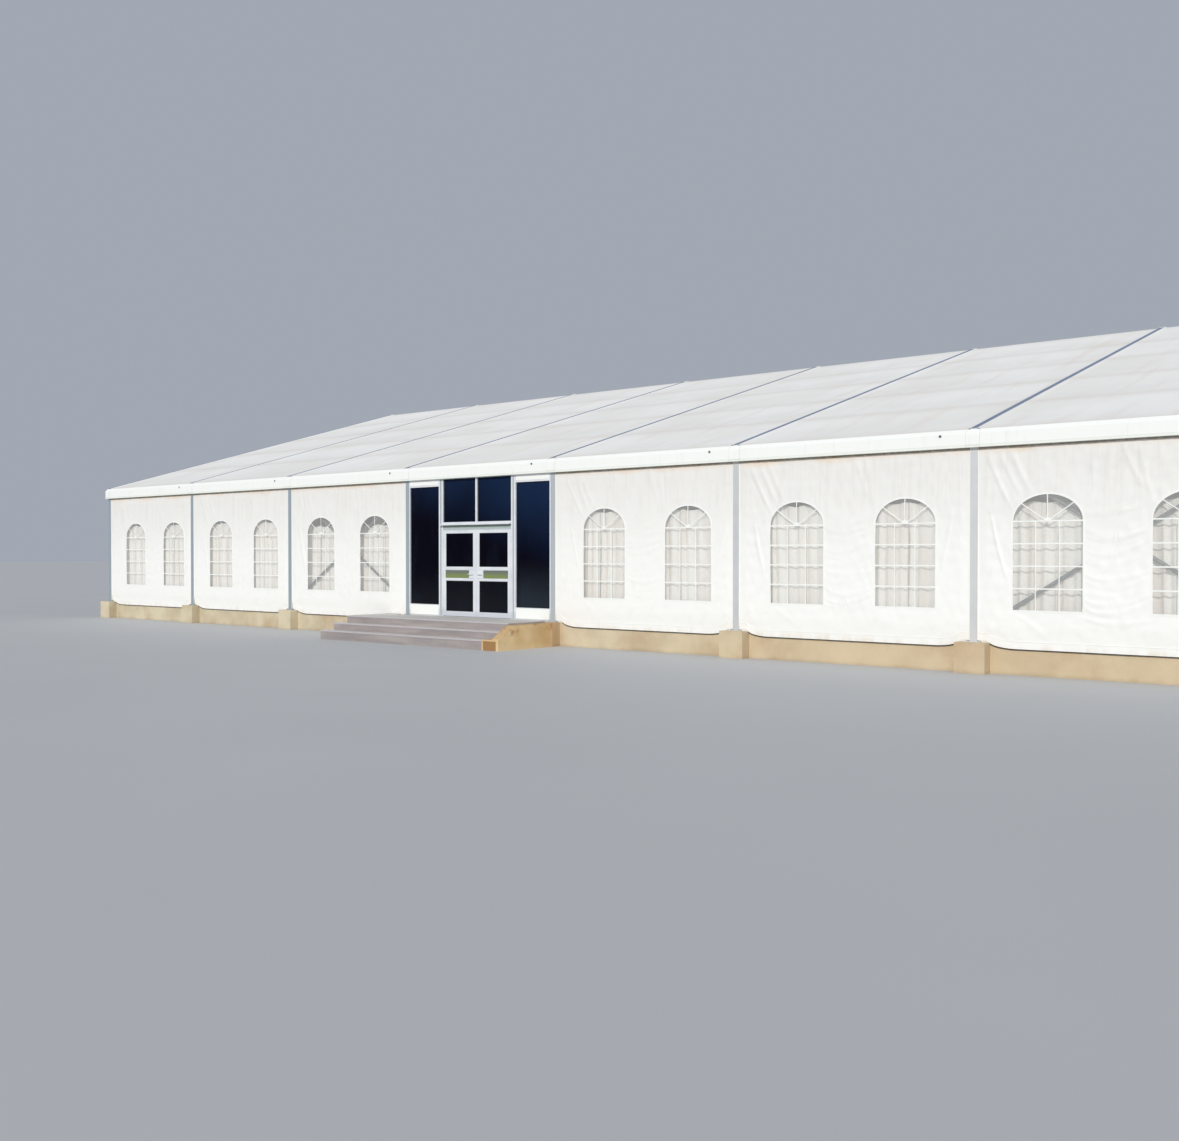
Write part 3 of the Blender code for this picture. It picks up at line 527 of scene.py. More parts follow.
def plate_looks(place):
    """Green-grey anodised plates: greyer at the top, painted shade under the bars above them; the
    header pale low down and darker above, a painted shadow of the hood.
    """
    z = place.axis(2)
    patches = place.noise(6.0, 4.0)
    # Olive below, greyer towards the top: painted shade under the white bar above the plate.
    tone = (z + patches * 0.03).between(1.60, 1.72).mix((132, 146, 88), (116, 122, 112))
    tone = z.between(2.0, 2.2).mix(tone, (184, 198, 194))
    # The header's upper part is darker: painted shadow of the hood.
    tone = z.between(2.788, 2.796).mix(tone, (140, 153, 142))
    return {"Base Color": tone, "Metallic": 0.2, "Roughness": 0.36 + patches * 0.2,
            "Height": patches * 0.0002}


def steel_looks(place):
    """Brushed steel of plates, bolts and handles."""
    lines = place.stretched(1.0, 1.0, 40.0).noise(12.0, 4.0)
    tone = lines.mix((168, 172, 176), (204, 207, 210))
    return {"Base Color": tone, "Metallic": 0.5, "Roughness": 0.35 + lines * 0.25,
            "Height": lines * 0.0002}


aluminium = finish("aluminium", aluminium_looks)
coated_white = finish("coated_white", coated_looks)
# The rails' blue-grey is a painted reflection of the sky.
rafter_rail = plain("rafter_rail", (2.0, 5.0), ((112, 125, 152), (148, 160, 184)),
                    (0.5, 0.15), 0.0005, metallic=0.2)
galvanised = finish("galvanised", brace_looks)
green_plate = finish("green_plate", plate_looks)
steel = finish("steel", steel_looks)
black_seal = plain("black_seal", (30.0, 3.0), ((20, 22, 26), (38, 40, 44)),
                   (0.6, 0.2), 0.0004)
print("metal finishes ready")


# %% [markdown]
# Below the walls everything is cement work: a beige rendered plinth with brown patches, a
# sand-coloured cheek wall, grey-mauve steps with paler nosings, and a smooth screed inside.

# %% Cement work
def plinth_looks(place):
    """Beige render, patched and stained brown where water runs off."""
    x, y = place.axis(0), place.axis(1)
    patches = place.noise(1.3, 6.0)
    grain = place.noise(60.0, 4.0)
    tone = patches.between(0.3, 0.7).mix((196, 181, 152), (216, 204, 176))
    warm = (x + patches * 6.0).between(3.0, 14.0)
    tone = (warm * 0.5).mix(tone, (212, 186, 148))
    stained = place.noise(0.7, 5.0).between(0.52, 0.66)
    tone = (stained * 0.45).mix(tone, (184, 154, 120))
    beside = x.between(2.15, 2.2) * (1 - x.between(2.7, 2.8)) * (1 - y.between(-12.6, -12.4))
    tone = (beside * 0.8).mix(tone, (190, 154, 112))
    low = 1 - (place.axis(2) + patches * 0.15).between(0.02, 0.16)
    tone = (low * 0.45).mix(tone, (150, 136, 110))
    return {"Base Color": tone, "Roughness": 0.88, "Height": grain * 0.004 + patches * 0.008}


def render_looks(place):
    """Rough sand-orange render, brown near its top, towards the wall and on the low block, paler
    low at the front.
    """
    x, y, z = place.axis(0), place.axis(1), place.axis(2)
    patches = place.noise(2.1, 6.0)
    grain = place.noise(80.0, 5.0)
    tone = patches.between(0.3, 0.7).mix((212, 179, 128), (232, 206, 160))
    damp = place.noise(2.6, 5.0).between(0.5, 0.6) * (z + patches * 0.2).between(0.4, 0.5)
    tone = (damp * 0.75).mix(tone, (172, 126, 80))
    aged = (y + z + patches * 0.5).between(-13.3, -12.5)
    tone = (aged * 0.35).mix(tone, (186, 144, 100))
    flat = place.node("ShaderNodeNewGeometry", {}, {}, 1).axis(2).between(0.3, 0.8)
    tone = (flat * 0.6).mix(tone, (184, 150, 106))
    # Paler low down towards the front.
    paler_low_front = (z + y * 0.1 + patches * 0.4).between(-1.3, -1.0)
    tone = ((1 - paler_low_front) * 0.5).mix(tone, (234, 212, 174))
    front = 1 - y.between(-14.535, -14.5)
    block = (1 - x.between(2.57, 2.62)) * (1 - z.between(0.2, 0.22)) * x.between(2.18, 2.21)
    tone = (block * front * 0.9).mix(tone, (152, 112, 65))
    return {"Base Color": tone, "Roughness": 0.9, "Height": grain * 0.005 + patches * 0.006}


def step_looks(place):
    """Grey-mauve tiles half a metre long, lighter on the treads."""
    patches = place.stretched(0.4, 1.0, 4.0).noise(1.5, 5.0)
    grain = place.noise(140.0, 3.0)
    tone = patches.between(0.3, 0.7).mix((147, 139, 138), (170, 162, 158))
    flat = place.node("ShaderNodeNewGeometry", {}, {}, 1).axis(2).between(0.5, 0.9)
    tone = (flat * 0.8).mix(tone, (222, 219, 213))
    along = (place.axis(0) * 2.0).maths("FRACT")
    joint = 1 - along.maths("PINGPONG", 0.5).between(0.006, 0.012)
    tone = (joint * 0.25).mix(tone, (104, 96, 104))
    return {"Base Color": tone, "Roughness": 0.6 + patches * 0.2,
            "Height": grain * 0.0006 - joint * 0.001}


def nosing_looks(place):
    """Pale stone of the step edges, a little mauve, scuffed."""
    patches = place.noise(2.0, 5.0)
    scuffs = place.stretched(2.0, 8.0, 8.0).noise(4.0, 4.0)
    tone = patches.mix((184, 178, 180), (206, 200, 202))
    tone = (scuffs.between(0.55, 0.75) * 0.4).mix(tone, (150, 140, 146))
    return {"Base Color": tone, "Roughness": 0.6 + patches * 0.2, "Height": scuffs * 0.0008}


plinth_render = finish("plinth_render", plinth_looks)
sand_render = finish("sand_render", render_looks)
step_stone = finish("step_stone", step_looks)
nosing_stone = finish("nosing_stone", nosing_looks)
screed = plain("screed", (0.8, 6.0), ((150, 148, 144), (176, 173, 168)),
               (0.5, 0.25), 0.002)
print("cement finishes ready")

# %% [markdown]
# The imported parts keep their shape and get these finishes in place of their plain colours.

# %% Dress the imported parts
NODE_FINISH = {
    "concrete": plinth_render, "floor": screed, "step_stone": step_stone,
    "sand_render": sand_render, "aluminium": aluminium, "roof_fabric": roof_fabric,
    "fascia_white": trim_white, "wall_fabric": wall_fabric, "clear_sheet": clear_sheet,
    "curtain": curtain_cloth, "frame_white": coated_white, "dark_glass": dark_glass,
}
for subpart in frame["record"]["subparts"]:
    surface = nodes[subpart["node"]].data
    surface.materials.clear()
    dress = NODE_FINISH[subpart["material_slot"]]
    if "brace" in subpart["node"]:
        dress = galvanised
    surface.materials.append(dress)


# %% [markdown]
# A wall is worked out flat, as u along the wall and z up, and then stood in its place:
# each side of the hall has a direction along it and a direction out of it.

# %% Standing a wall in its place
SIDES = {
    "front": ((1, 0), (0, -1), HALF_SPAN),
    "back": ((-1, 0), (0, 1), HALF_SPAN),
    "left": ((0, -1), (-1, 0), HALF_LENGTH),
    "right": ((0, 1), (1, 0), HALF_LENGTH),
}
BAY_MIDDLES = {
    "front": FRAME_XS[:-1] + BAY / 2, "back": FRAME_XS[:-1] + BAY / 2,
    "left": np.arange(-2, 3) * BAY, "right": np.arange(-2, 3) * BAY,
}


def stand(side, u, z, out):
    """Point = along * u + outward * (distance of the wall + out), at height z."""
    along, outward, reach = SIDES[side]
    x = along[0] * u + outward[0] * (reach + out)
    y = along[1] * u + outward[1] * (reach + out)
    return stacked(x, y, z)


def outward(side):
    """The direction out of a wall."""
    return np.array((*SIDES[side][1], 0))


def smooth(x, low, high):
    """0 below low, 1 above high, 3t^2 - 2t^3 between."""
    t = np.clip((x - low) / (high - low), 0, 1)
    return t * t * (3 - 2 * t)


print("sides:", ", ".join(SIDES))


# %% [markdown]
# Wall fabric is tensioned by its edges and by its own weight, so it never lies flat. Folds
# fall from the upper corners towards the windows, and slack cloth sags between the two
# windows of a bay. Each fold is a ridge with a shallow hollow beside it, and a few long
# sine waves in seeded directions keep the cloth between them alive.

# %% Folds in the walls
def ripple(u, z, draw, count, shortest, longest):
    """Mean of sine waves with random direction, length and phase, about 1 high."""
    turn = draw.uniform(0, np.pi, count)
    length = draw.uniform(shortest, longest, count)
    phase = draw.uniform(0, 2 * np.pi, count)
    along = u[..., None] * np.cos(turn) + z[..., None] * np.sin(turn)
    return np.sin(2 * np.pi * along / length + phase).sum(-1) / math.sqrt(count)


def ridge(across, width):
    """A ridge with a hollow on its lower side: (1 - 0.9 s) e^(-s^2), s = across / width."""
    s = across / width
    return (1 - 0.9 * s) * np.exp(-s * s)


def fold(u, z, start, end, width, height, bend=0.0, early=1.0):
    """A fold from start to end that fades out at both ends.

    It bows by bend * 4 s^e (1 - s), with s the share of the way: e under 1 bows it early."""
    start, end = np.array(start), np.array(end)
    way = end - start
    length = np.linalg.norm(way)
    way = way / length
    along = (u - start[0]) * way[0] + (z - start[1]) * way[1]
    share = along / length
    across = (u - start[0]) * -way[1] + (z - start[1]) * way[0]
    held = np.clip(share, 0, 1)
    across = across - bend * 4 * held ** early * (1 - held)
    fade = smooth(share, -0.1, 0.3) * (1 - smooth(share, 0.6, 1.1))
    return height * fade * ridge(across, width)


def bay_folds(draw, force, shift):
    """The folds of one bay: rows of the arguments of fold, in bay coordinates.

    Long creases curve from the top by the posts to the shoulders of the arches, short ones
    hang above the space between the windows, swags sag from the right side of the left
    window to the other one, and a few wrinkles fall below the sills."""
    rows = []
    for hand, weight in ((-1, 1.0), (1, 0.5)):
        side = shift + hand * (WINDOW_OFFSET + WINDOW_HALF)
        for start, level, end, foot, bow in (
                (-0.46, 4.0, 0.06, 2.86, 0.03), (-0.06, 4.03, 0.38, 3.1, 0.02),
                (-0.25, 4.05, 0.18, 3.05, 0.03), (-0.36, 2.9, -0.04, 1.6, 0.02)):
            jump = draw.uniform(-0.05, 0.05, 4)
            rows.append(((side - hand * start + jump[0], level + jump[1]),
                         (side - hand * end + jump[2], foot + jump[3]),
                         draw.uniform(0.026, 0.042), force * weight * draw.uniform(0.008, 0.013),
                         hand * bow, 0.7))
        rows.append(((side, SILL - 0.02), (side - hand * draw.uniform(0.3, 0.9), 0.6),
                     draw.uniform(0.04, 0.06), force * draw.uniform(0.003, 0.007), 0.05))
    for start, end, foot in ((0.15, 0.42, 3.2), (0.38, 0.55, 2.9), (-0.3, -0.36, 3.25)):
        jump = draw.uniform(-0.08, 0.08, 2)
        rows.append(((shift + start + jump[0], 4.04), (shift + end + jump[1], foot),
                     draw.uniform(0.035, 0.055), force * draw.uniform(0.004, 0.008),
                     draw.uniform(-0.08, 0.08)))
    level = 2.85
    while level > 1.0:
        lift = draw.uniform(-0.05, 0.22)
        rows.append(((shift - 0.56, level), (shift + 0.6, level + lift),
                     draw.uniform(0.02, 0.04), force * draw.uniform(0.004, 0.011),
                     draw.uniform(-0.17, -0.07), draw.uniform(0.5, 0.9)))
        level = level - draw.uniform(0.1, 0.26)
    return rows


class Bay:
    """One bay of wall fabric: its place on a side of the hall, and how far it swells out."""

    def __init__(self, side, index, left, right, top, shift, seed, force):
        self.side = side
        self.name = f"{side}_{index + 1}"
        self.middle = BAY_MIDDLES[side][index]
        self.left, self.right, self.top = left, right, top
        self.shift, self.seed, self.force = shift, seed, force
        self.centres = (shift - WINDOW_OFFSET, shift + WINDOW_OFFSET)
        self.outward = outward(side)
        self.rows = bay_folds(np.random.default_rng(seed), force, shift)

    def swell(self, u, z):
        """How far the cloth stands out, at u from the bay's middle and height z."""
        draw = np.random.default_rng(self.seed + 1000)
        out = self.force * 0.0030 * ripple(u, z, draw, 9, 0.45, 1.6)
        out = out + self.force * 0.0012 * ripple(u, z * 0.4, draw, 7, 0.12, 0.3)
        out = out + self.force * 0.0010 * ripple(u, z, draw, 9, 0.1, 0.25)
        for row in self.rows:
            out = out + fold(u, z, *row)
        pleat = np.sin(2 * np.pi * (u / 0.085 + 0.3 * np.sin(3 * u)))
        patch = smooth(z, 3.1, 3.9) * smooth(u, 0.3, 1.2)
        out = out + self.force * 0.0018 * pleat * patch
        beside = smooth(np.abs(u), 1.85, 2.1)
        out = out + self.force * 0.0016 * np.sin(2 * np.pi * z / 0.27 + u * 2) * beside
        belly = 0.012 * np.sin(np.pi * np.clip((z - HEM_Z) / (self.top - HEM_Z), 0, 1))
        edge = max(-self.left, self.right) - np.abs(u)
        held = smooth(edge, 0.0, 0.2) * smooth(self.top - z, 0.04, 0.3)
        low = 1 - 0.6 * (1 - smooth(z, HEM_Z, HEM_Z + 0.25))
        groove = 0.004 + 0.024 * smooth(z, PLINTH_TOP, PLINTH_TOP + 0.35)
        groove = groove + 0.012 * smooth(z, 3.5, 4.0)
        limit = 0.047 + 0.025 * smooth(self.top - z, 0.15, 0.5) * smooth(edge, 0.05, 0.3)
        return np.clip(groove + (out + belly) * held * low, -0.012, limit)

    def at(self, u, z, proud=0.0):
        """Points of the swollen cloth, moved out by proud."""
        return stand(self.side, self.middle + u, z, self.swell(u, z) + proud)


def hem_line(u):
    """The hem's height: level, rising along a quarter ellipse to the top of each pier."""
    climb = np.clip((np.abs(u) - (BAY / 2 - 0.75)) / 0.5, 0, 1)
    return HEM_Z + (NOTCH_TOP - HEM_Z) * (1 - np.sqrt(1 - climb ** 2))


print("folds ready")


# %% [markdown]
# The cloth round a window is a ring of quads: the inner edge follows the sill, the uprights
# and the arch, the outer edge follows half of the bay. Two such rings, welded at the
# middle, make a bay with two window openings and no wasted points.

# %% The cloth of one bay
def run(start, end, count):
    """Even steps from start towards end, without the end itself."""
    return np.linspace(start, end, count, endpoint=False)


def window_edge(centre, sill, upright, arch):
    """Sill, right upright, arch and left upright as one closed line of (u, z)."""
    h = WINDOW_HALF
    a = run(0, np.pi, arch)
    u = [run(-h, h, sill), np.full(upright, h), h * np.cos(a), np.full(upright, -h)]
    z = [np.full(sill, SILL), run(SILL, SPRING, upright), SPRING + RISE * np.sin(a),
         run(SPRING, SILL, upright)]
    return centre + np.concatenate(u), np.concatenate(z)


def cell_edge(left, right, top, sill, upright, arch):
    """The outline of half a bay, with as many points on each side as the window has."""
    level = run(left, right, sill)
    u = [level, np.full(upright, right), run(right, left, arch), np.full(upright, left)]
    z = [hem_line(level), run(hem_line(right), top, upright), np.full(arch, top),
         run(top, hem_line(left), upright)]
    return np.concatenate(u), np.concatenate(z)


def bay_cloth(bay, steps, rings):
    """Two rings of quads, P = (1 - s) window edge + s cell edge, swollen and stood up."""
    s = np.linspace(0, 1, rings)[:, None]
    parts, uv = [], []
    for k, (start, end) in enumerate(((bay.left, bay.shift), (bay.shift, bay.right))):
        inner_u, inner_z = window_edge(bay.centres[k], *steps)
        outer_u, outer_z = cell_edge(start, end, bay.top, *steps)
        u = inner_u * (1 - s) + outer_u * s
        z = inner_z * (1 - s) + outer_z * s
        parts.append((bay.at(u, z), grid_quads(*u.shape, closed=True)))
        uv.append(stacked(u, z))
    return weld(*join(parts), np.concatenate(uv))


def flat_area(left, right, top):
    """The bay's outline area, less its two openings."""
    u = np.linspace(left, right, 400)
    step = u[1] - u[0]
    opening = 2 * WINDOW_HALF * (SPRING - SILL) + np.pi * WINDOW_HALF * RISE / 2
    return float(((top - hem_line(u)) * step)[:-1].sum() - 2 * opening)


print("one bay takes", round(flat_area(-INNER_HALF, INNER_HALF, WALL_TOP), 2), "m2 of cloth")


# %% [markdown]
# Behind each opening a clear sheet is welded on, a little larger than the opening, and
# white bars are printed on it as thick raised strips: one along the spring line, three
# below it, two uprights, and three spokes fanning out in the arch. Pane and bars follow
# the swell of the wall, because they are part of the same sheet. So do the bead welded
# above the hem and a black strip along the hem's edge, a painted shadow of the gap under
# the hem.

# %% Clear panes and their bars
BAR_WIDTH = 0.024
UPRIGHT_WIDTH = 0.017
BAR_HEIGHT = 0.004
BAR_SPACING = 0.39
RIM_WIDTH = 0.03
HUB_RADIUS = 0.035
PANE_LAP = 0.02


def pane_grid(bay, centre, lines, columns):
    """Level lines from edge to edge: half width h below the spring, h cos a in the arch."""
    h = WINDOW_HALF + PANE_LAP
    a = np.linspace(0, np.pi / 2 * 0.97, lines)[1:]
    z = np.concatenate([np.linspace(SILL - PANE_LAP, SPRING, lines),
                        SPRING + (RISE + PANE_LAP) * np.sin(a)])
    half = np.concatenate([np.full(lines, h), h * np.cos(a)])
    u = centre + np.linspace(-1, 1, columns)[:, None] * half
    z = np.broadcast_to(z, u.shape)
    return bay.at(u, z, -0.006), grid_quads(*u.shape), stacked(u, z)


def strip(bay, u, z, width, height, steps):
    """A raised bar along a line of (u, z) points, lying on the swollen pane."""
    t = np.linspace(0, 1, len(u))
    fine = np.linspace(0, 1, steps)
    path = bay.at(np.interp(fine, t, u), np.interp(fine, t, z), height / 2 - 0.003)
    return carry(path, rectangle(width, height), bay.outward)


def window_bars(bay, centre, steps):
    """All bars of one window, the welded rim round its opening, and the spokes' hub."""
    h = WINDOW_HALF
    lines = [((centre - h, centre + h), (level, level), BAR_WIDTH, BAR_HEIGHT, steps)
             for level in SPRING - BAR_SPACING * np.arange(4)]
    lines += [((u, u), (SILL, SPRING), UPRIGHT_WIDTH, BAR_HEIGHT * 1.2, 2 * steps)
              for u in (centre - h / 3, centre + h / 3)]
    for a in np.radians((35, 90, 145)):
        reach = 1 / np.hypot(np.cos(a) / h, np.sin(a) / RISE)
        lines.append(((centre, centre + reach * np.cos(a)),
                      (SPRING, SPRING + reach * np.sin(a)),
                      UPRIGHT_WIDTH, BAR_HEIGHT * 1.2, steps))
    rim = [np.append(v, v[0]) for v in window_edge(centre, 8, 12, 24)]
    lines.append((*rim, RIM_WIDTH, 0.007, 8 * steps))
    a = np.linspace(0, np.pi, 9)
    lines.append((centre + HUB_RADIUS * np.cos(a), SPRING + HUB_RADIUS * np.sin(a),
                  0.06, BAR_HEIGHT * 1.6, 9))
    return join([strip(bay, *line) for line in lines])


def hem_bead(bay):
    """A round welded bead along the hem, 140 mm above its edge, carried along the swell."""
    u = np.linspace(bay.left + 0.01, bay.right - 0.01, 61)
    return carry(bay.at(u, hem_line(u) + 0.14, 0.001), rod(0.006, 6), bay.outward)


def hem_shadow_strip(bay):
    """A black strip of painted shadow along the hem's edge, ending where the quarter ellipses meet
    the piers.
    """
    reach = BAY / 2 - 0.27
    u = np.linspace(max(bay.left, -reach), min(bay.right, reach), 121)
    return strip(bay, u, hem_line(u) + 0.002, 0.014, 0.006, 121)


print("a pane is", 2 * (WINDOW_HALF + PANE_LAP), "m wide")


# %% [markdown]
# With those functions a wall is a loop over its bays. Each bay gives four pieces: the
# cloth, the two panes, the bars with the rims, and the hem's black strip of painted shadow.
# The cloth stands for the flat wall of the imported model.

# %% Hang the walls
CLOTH_STEPS = {0: ((14, 20, 24), 12), 1: ((20, 40, 32), 24), 2: ((30, 66, 48), 36)}
PLAIN_FORCE = 0.9
FRONT_FORCES = {4: 0.75, 5: 1.3, 6: 1.5}


def hang_bay(bay, fine, wall, window_sheet):
    """Make one bay of a wall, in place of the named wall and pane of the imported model."""
    inward = -CLOTH_THICKNESS * bay.outward
    cloth = closed_sheet(f"wall_{bay.name}", bay_cloth(bay, *CLOTH_STEPS[fine]), inward,
                         wall_fabric, "wall_fabric", wall, sharp=60)
    panes = [pane_grid(bay, c, 8 if fine else 5, 10 if fine else 6) for c in bay.centres]
    grids = (*join([grid[:2] for grid in panes]), np.concatenate([grid[2] for grid in panes]))
    pane = closed_sheet(f"panes_{bay.name}", grids, inward * 0.5, clear_sheet, "clear_sheet",
                        window_sheet)
    bars = [window_bars(bay, c, 9 if fine else 5) for c in bay.centres] + [hem_bead(bay)]
    bars = piece(f"window_bars_{bay.name}", *join(bars), trim_white, "wall_fabric")
    # A black strip along the hem's edge: painted shadow of the gap under the hem.
    band = piece(f"hem_shadow_strip_{bay.name}", *hem_shadow_strip(bay), black_seal, "wall_fabric")
    bay.right - bay.left
    bay.top - HEM_Z
    flat_area(bay.left, bay.right, bay.top)


for index, shift in FRONT_SHIFTS.items():
    end = "right" if index > 3 else "left"
    bay = Bay("front", index, -INNER_HALF, INNER_HALF, WALL_TOP, shift, 40 + index,
              FRONT_FORCES.get(index, PLAIN_FORCE))
    hang_bay(bay, 2 if index > 3 else 1, f"front_wall_{end}", f"front_window_sheet_{end}")
for index in range(7):
    bay = Bay("back", index, -INNER_HALF, INNER_HALF, WALL_TOP, 0.0, 60 + index, PLAIN_FORCE)
    hang_bay(bay, 0, "back_wall", "back_window_sheet")
for side, seed in (("left", 80), ("right", 90)):
    for index in range(5):
        left = -BAY / 2 + (CORNER_LEG if index == 0 else LEG_FACE)
        right = BAY / 2 - (CORNER_LEG if index == 4 else LEG_FACE)
        bay = Bay(side, index, left, right, GABLE_WALL_TOP, 0.0, seed + index, PLAIN_FORCE)
        hang_bay(bay, 0, f"gable_wall_{side}", f"gable_window_sheet_{side}")
print("walls hung")


# %% [markdown]
# Roof covers are pulled into grooves along the rafters and tensioned over purlins. Between
# those lines they sag a centimetre or two, and short ripples run beside the rafters.

# %% Roof covers
COVER_REACH = 2.462
COVER_END = 12.549


def roof_level(y, below):
    """Height of the slope at y, measured below the rafter's top face."""
    return RIDGE_TOP - np.abs(y) * math.tan(SLOPE) - below / math.cos(SLOPE)


def roof_swell(u, y, seed):
    """Sag -0.024 sin^2 between the purlins and towards the bay's middle, and small ripples."""
    draw = np.random.default_rng(seed)
    between = np.sin(np.pi * np.abs(y) / PURLIN_SPACING) ** 2
    sag = -0.024 * between * (1 - (np.abs(u) / 2.46) ** 3)
    wave = 0.0035 * ripple(u * 1.2, y * 0.35, draw, 9, 0.5, 1.7)
    near = 0.004 * np.sin(2 * np.pi * y / 0.42 + 2 * np.sin(u)) * np.exp(
        -((2.46 - np.abs(u)) / 0.35))
    held = smooth(2.42 - np.abs(u), 0.0, 0.18) * smooth(HALF_SPAN - np.abs(y), 0.0, 0.2)
    wave = wave * (0.2 + 0.8 * between)
    return sag * smooth(2.44 - np.abs(u), 0.0, 0.1) + (wave + near * between) * held


share = np.linspace(-1, 1, 37)
cover_us = COVER_REACH * np.sign(share) * (1 - (1 - np.abs(share)) ** 1.5)
for index, middle in enumerate(BAY_MIDDLES["front"]):
    u, y = np.meshgrid(cover_us, np.linspace(-COVER_END, COVER_END, 201), indexing="ij")
    climb = 0.022 * smooth(np.abs(u), 2.37, 2.43)
    z = roof_level(y, 0.016) + roof_swell(u, y, 200 + index) + climb
    grid = stacked(middle + u, y, z), grid_quads(*u.shape), stacked(u, y / math.cos(SLOPE))
    cover = closed_sheet(f"cover_{index + 1}", grid, (0, 0, -CLOTH_THICKNESS), roof_fabric,
                         "roof_fabric", f"roof_cover_{index + 1}")
print("roof covered")

# %% [markdown]
# Each rafter shows between two covers as a blue-grey rail, with a folded white cap at the
# top. The rails are a flat profile carried from eave to eave over the ridge.

# %% Rails on the rafters
RAIL_WIDTH = 0.118
CAP_WIDTH = 0.12
rail_ys = np.append(np.linspace(-COVER_END, -0.05, 12), np.linspace(0.05, COVER_END, 12))
cap_ys = np.array([-0.08, -0.05, -0.015, 0.015, 0.05, 0.08])
for k, x in enumerate(FRAME_XS):
    rail = carry(stacked(x, rail_ys, roof_level(rail_ys, -0.004)),
                 rectangle(RAIL_WIDTH, 0.006), UP)
    cap = carry(stacked(x, cap_ys, roof_level(cap_ys, -0.0085)),
                rectangle(CAP_WIDTH, 0.003), UP)
    piece(f"rafter_rail_{k + 1}", *rail, rafter_rail, "aluminium")
    piece(f"ridge_cap_{k + 1}", *cap, trim_white, "fascia_white")
print("rails on", len(FRAME_XS), "rafters")

# %% [markdown]
# Above each gable beam the end of the hall is closed by one triangle of the same cloth.

# %% Gable triangles
TRIANGLE_REACH = 12.24
TRIANGLE_FOOT = 4.102
for side, seed in (("left", 300), ("right", 301)):
    u, share = np.meshgrid(np.linspace(-1, 1, 121) * TRIANGLE_REACH, np.linspace(0, 1, 25),
                           indexing="ij")
    high = roof_level(u, 0.29)
    z = TRIANGLE_FOOT + share * np.maximum(high - TRIANGLE_FOOT, 0.004)
    inside = np.minimum(z - TRIANGLE_FOOT, high - z)
    draw = np.random.default_rng(seed)
    out = 0.006 * ripple(u, z, draw, 9, 0.6, 2.2) * smooth(inside, 0.0, 0.5)
    grid = stand(side, u, z, out + 0.002), grid_quads(*u.shape), stacked(u, z)
    triangle = closed_sheet(f"triangle_{side}", grid, -CLOTH_THICKNESS * outward(side),
                            wall_fabric, "wall_fabric", f"gable_triangle_{side}")
print("gables closed")


# %% [markdown]
# Curtains hang inside the legs on a track, gathered by a pencil-pleat heading, so the folds
# are tight at the top and open out lower down. They stop below the top of the arches, where
# the dark of the hall shows as a thin line.

# %% Curtains
CURTAIN_TOP = 3.095
CURTAIN_FOOT = FLOOR_TOP + 0.01
CURTAIN_HALF = 2.42
CURTAIN_END = 12.19
CURTAIN_EDGES = {
    0: (-1.2, 0.1, 1.3), 1: (-0.9, 0.2, 1.15), 2: (-1.3, 0.0, 1.4),
    4: (-1.16, 0.1, 1.03), 5: (-1.1, -0.1, 1.22), 6: (-0.35, 0.3),
}


def drop(side, start, end, reach, top, seed, columns, levels):
    """One drop: out = A(z) sin(phase), with the phase a seeded walk along the wall.

    The heading dips a few centimetres between the hooks: z = top - d |sin|."""
    draw = np.random.default_rng(seed)
    width = end - start
    count = max(3, int(width / 0.2))
    knots = np.linspace(0, 1, count + 1)
    knots[1:-1] += draw.uniform(-0.32, 0.32, count - 1) / count
    t = np.linspace(0, 1, columns)[:, None]
    phase = np.interp(t, knots, np.arange(count + 1)) * 2 * np.pi
    dip = 0.04 * np.abs(np.sin(phase / 4 + draw.uniform(0, 3)))
    z = CURTAIN_FOOT + np.linspace(0, 1, levels) * (top - dip - CURTAIN_FOOT)
    open_out = 1 - smooth(z, 2.3, top)
    size = 0.008 + 0.016 * open_out
    lean = 0.6 * np.sin(z * 1.3 + seed) * open_out
    deep = size * np.sin(phase + lean) + 0.004 * np.sin(3 * phase) * (1 - open_out)
    u = start + width * t + 0.3 * size * np.cos(phase + lean) * open_out
    return stand(side, u, z, deep - reach), grid_quads(columns, levels)


def hang_curtains(side, index, edges, reach, seed, fine=False, top=CURTAIN_TOP):
    """Drops between the given edges, as one gathered sheet."""
    parts = []
    for k, (start, end) in enumerate(zip(edges[:-1], edges[1:])):
        columns = int((end - start) * (64 if fine else 36))
        parts.append(drop(side, start + 0.003, end - 0.003, reach, top,
                          seed + 10 * index + k, columns, 14 if fine else 7))
    points, quads = join(parts)
    uv = points[:, [0 if side in ("front", "back") else 1, 2]]
    cloth = piece(f"curtain_{side}_{index + 1}", points, quads, curtain_cloth, "curtain", uv=uv)
    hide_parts("wall_lining")
    a, b, c, d = (points[quads[:, k]] for k in range(4))
    area = float(np.linalg.norm(np.cross(c - a, d - b), axis=1).sum() / 2)
    tall = top - CURTAIN_FOOT
    round(area / tall, 2)


def curtain_reach(index):
    """A braced bay hangs its curtain behind the tubes, the others just behind the wall."""
    return 0.148 if index in BRACE_BAYS else 0.065


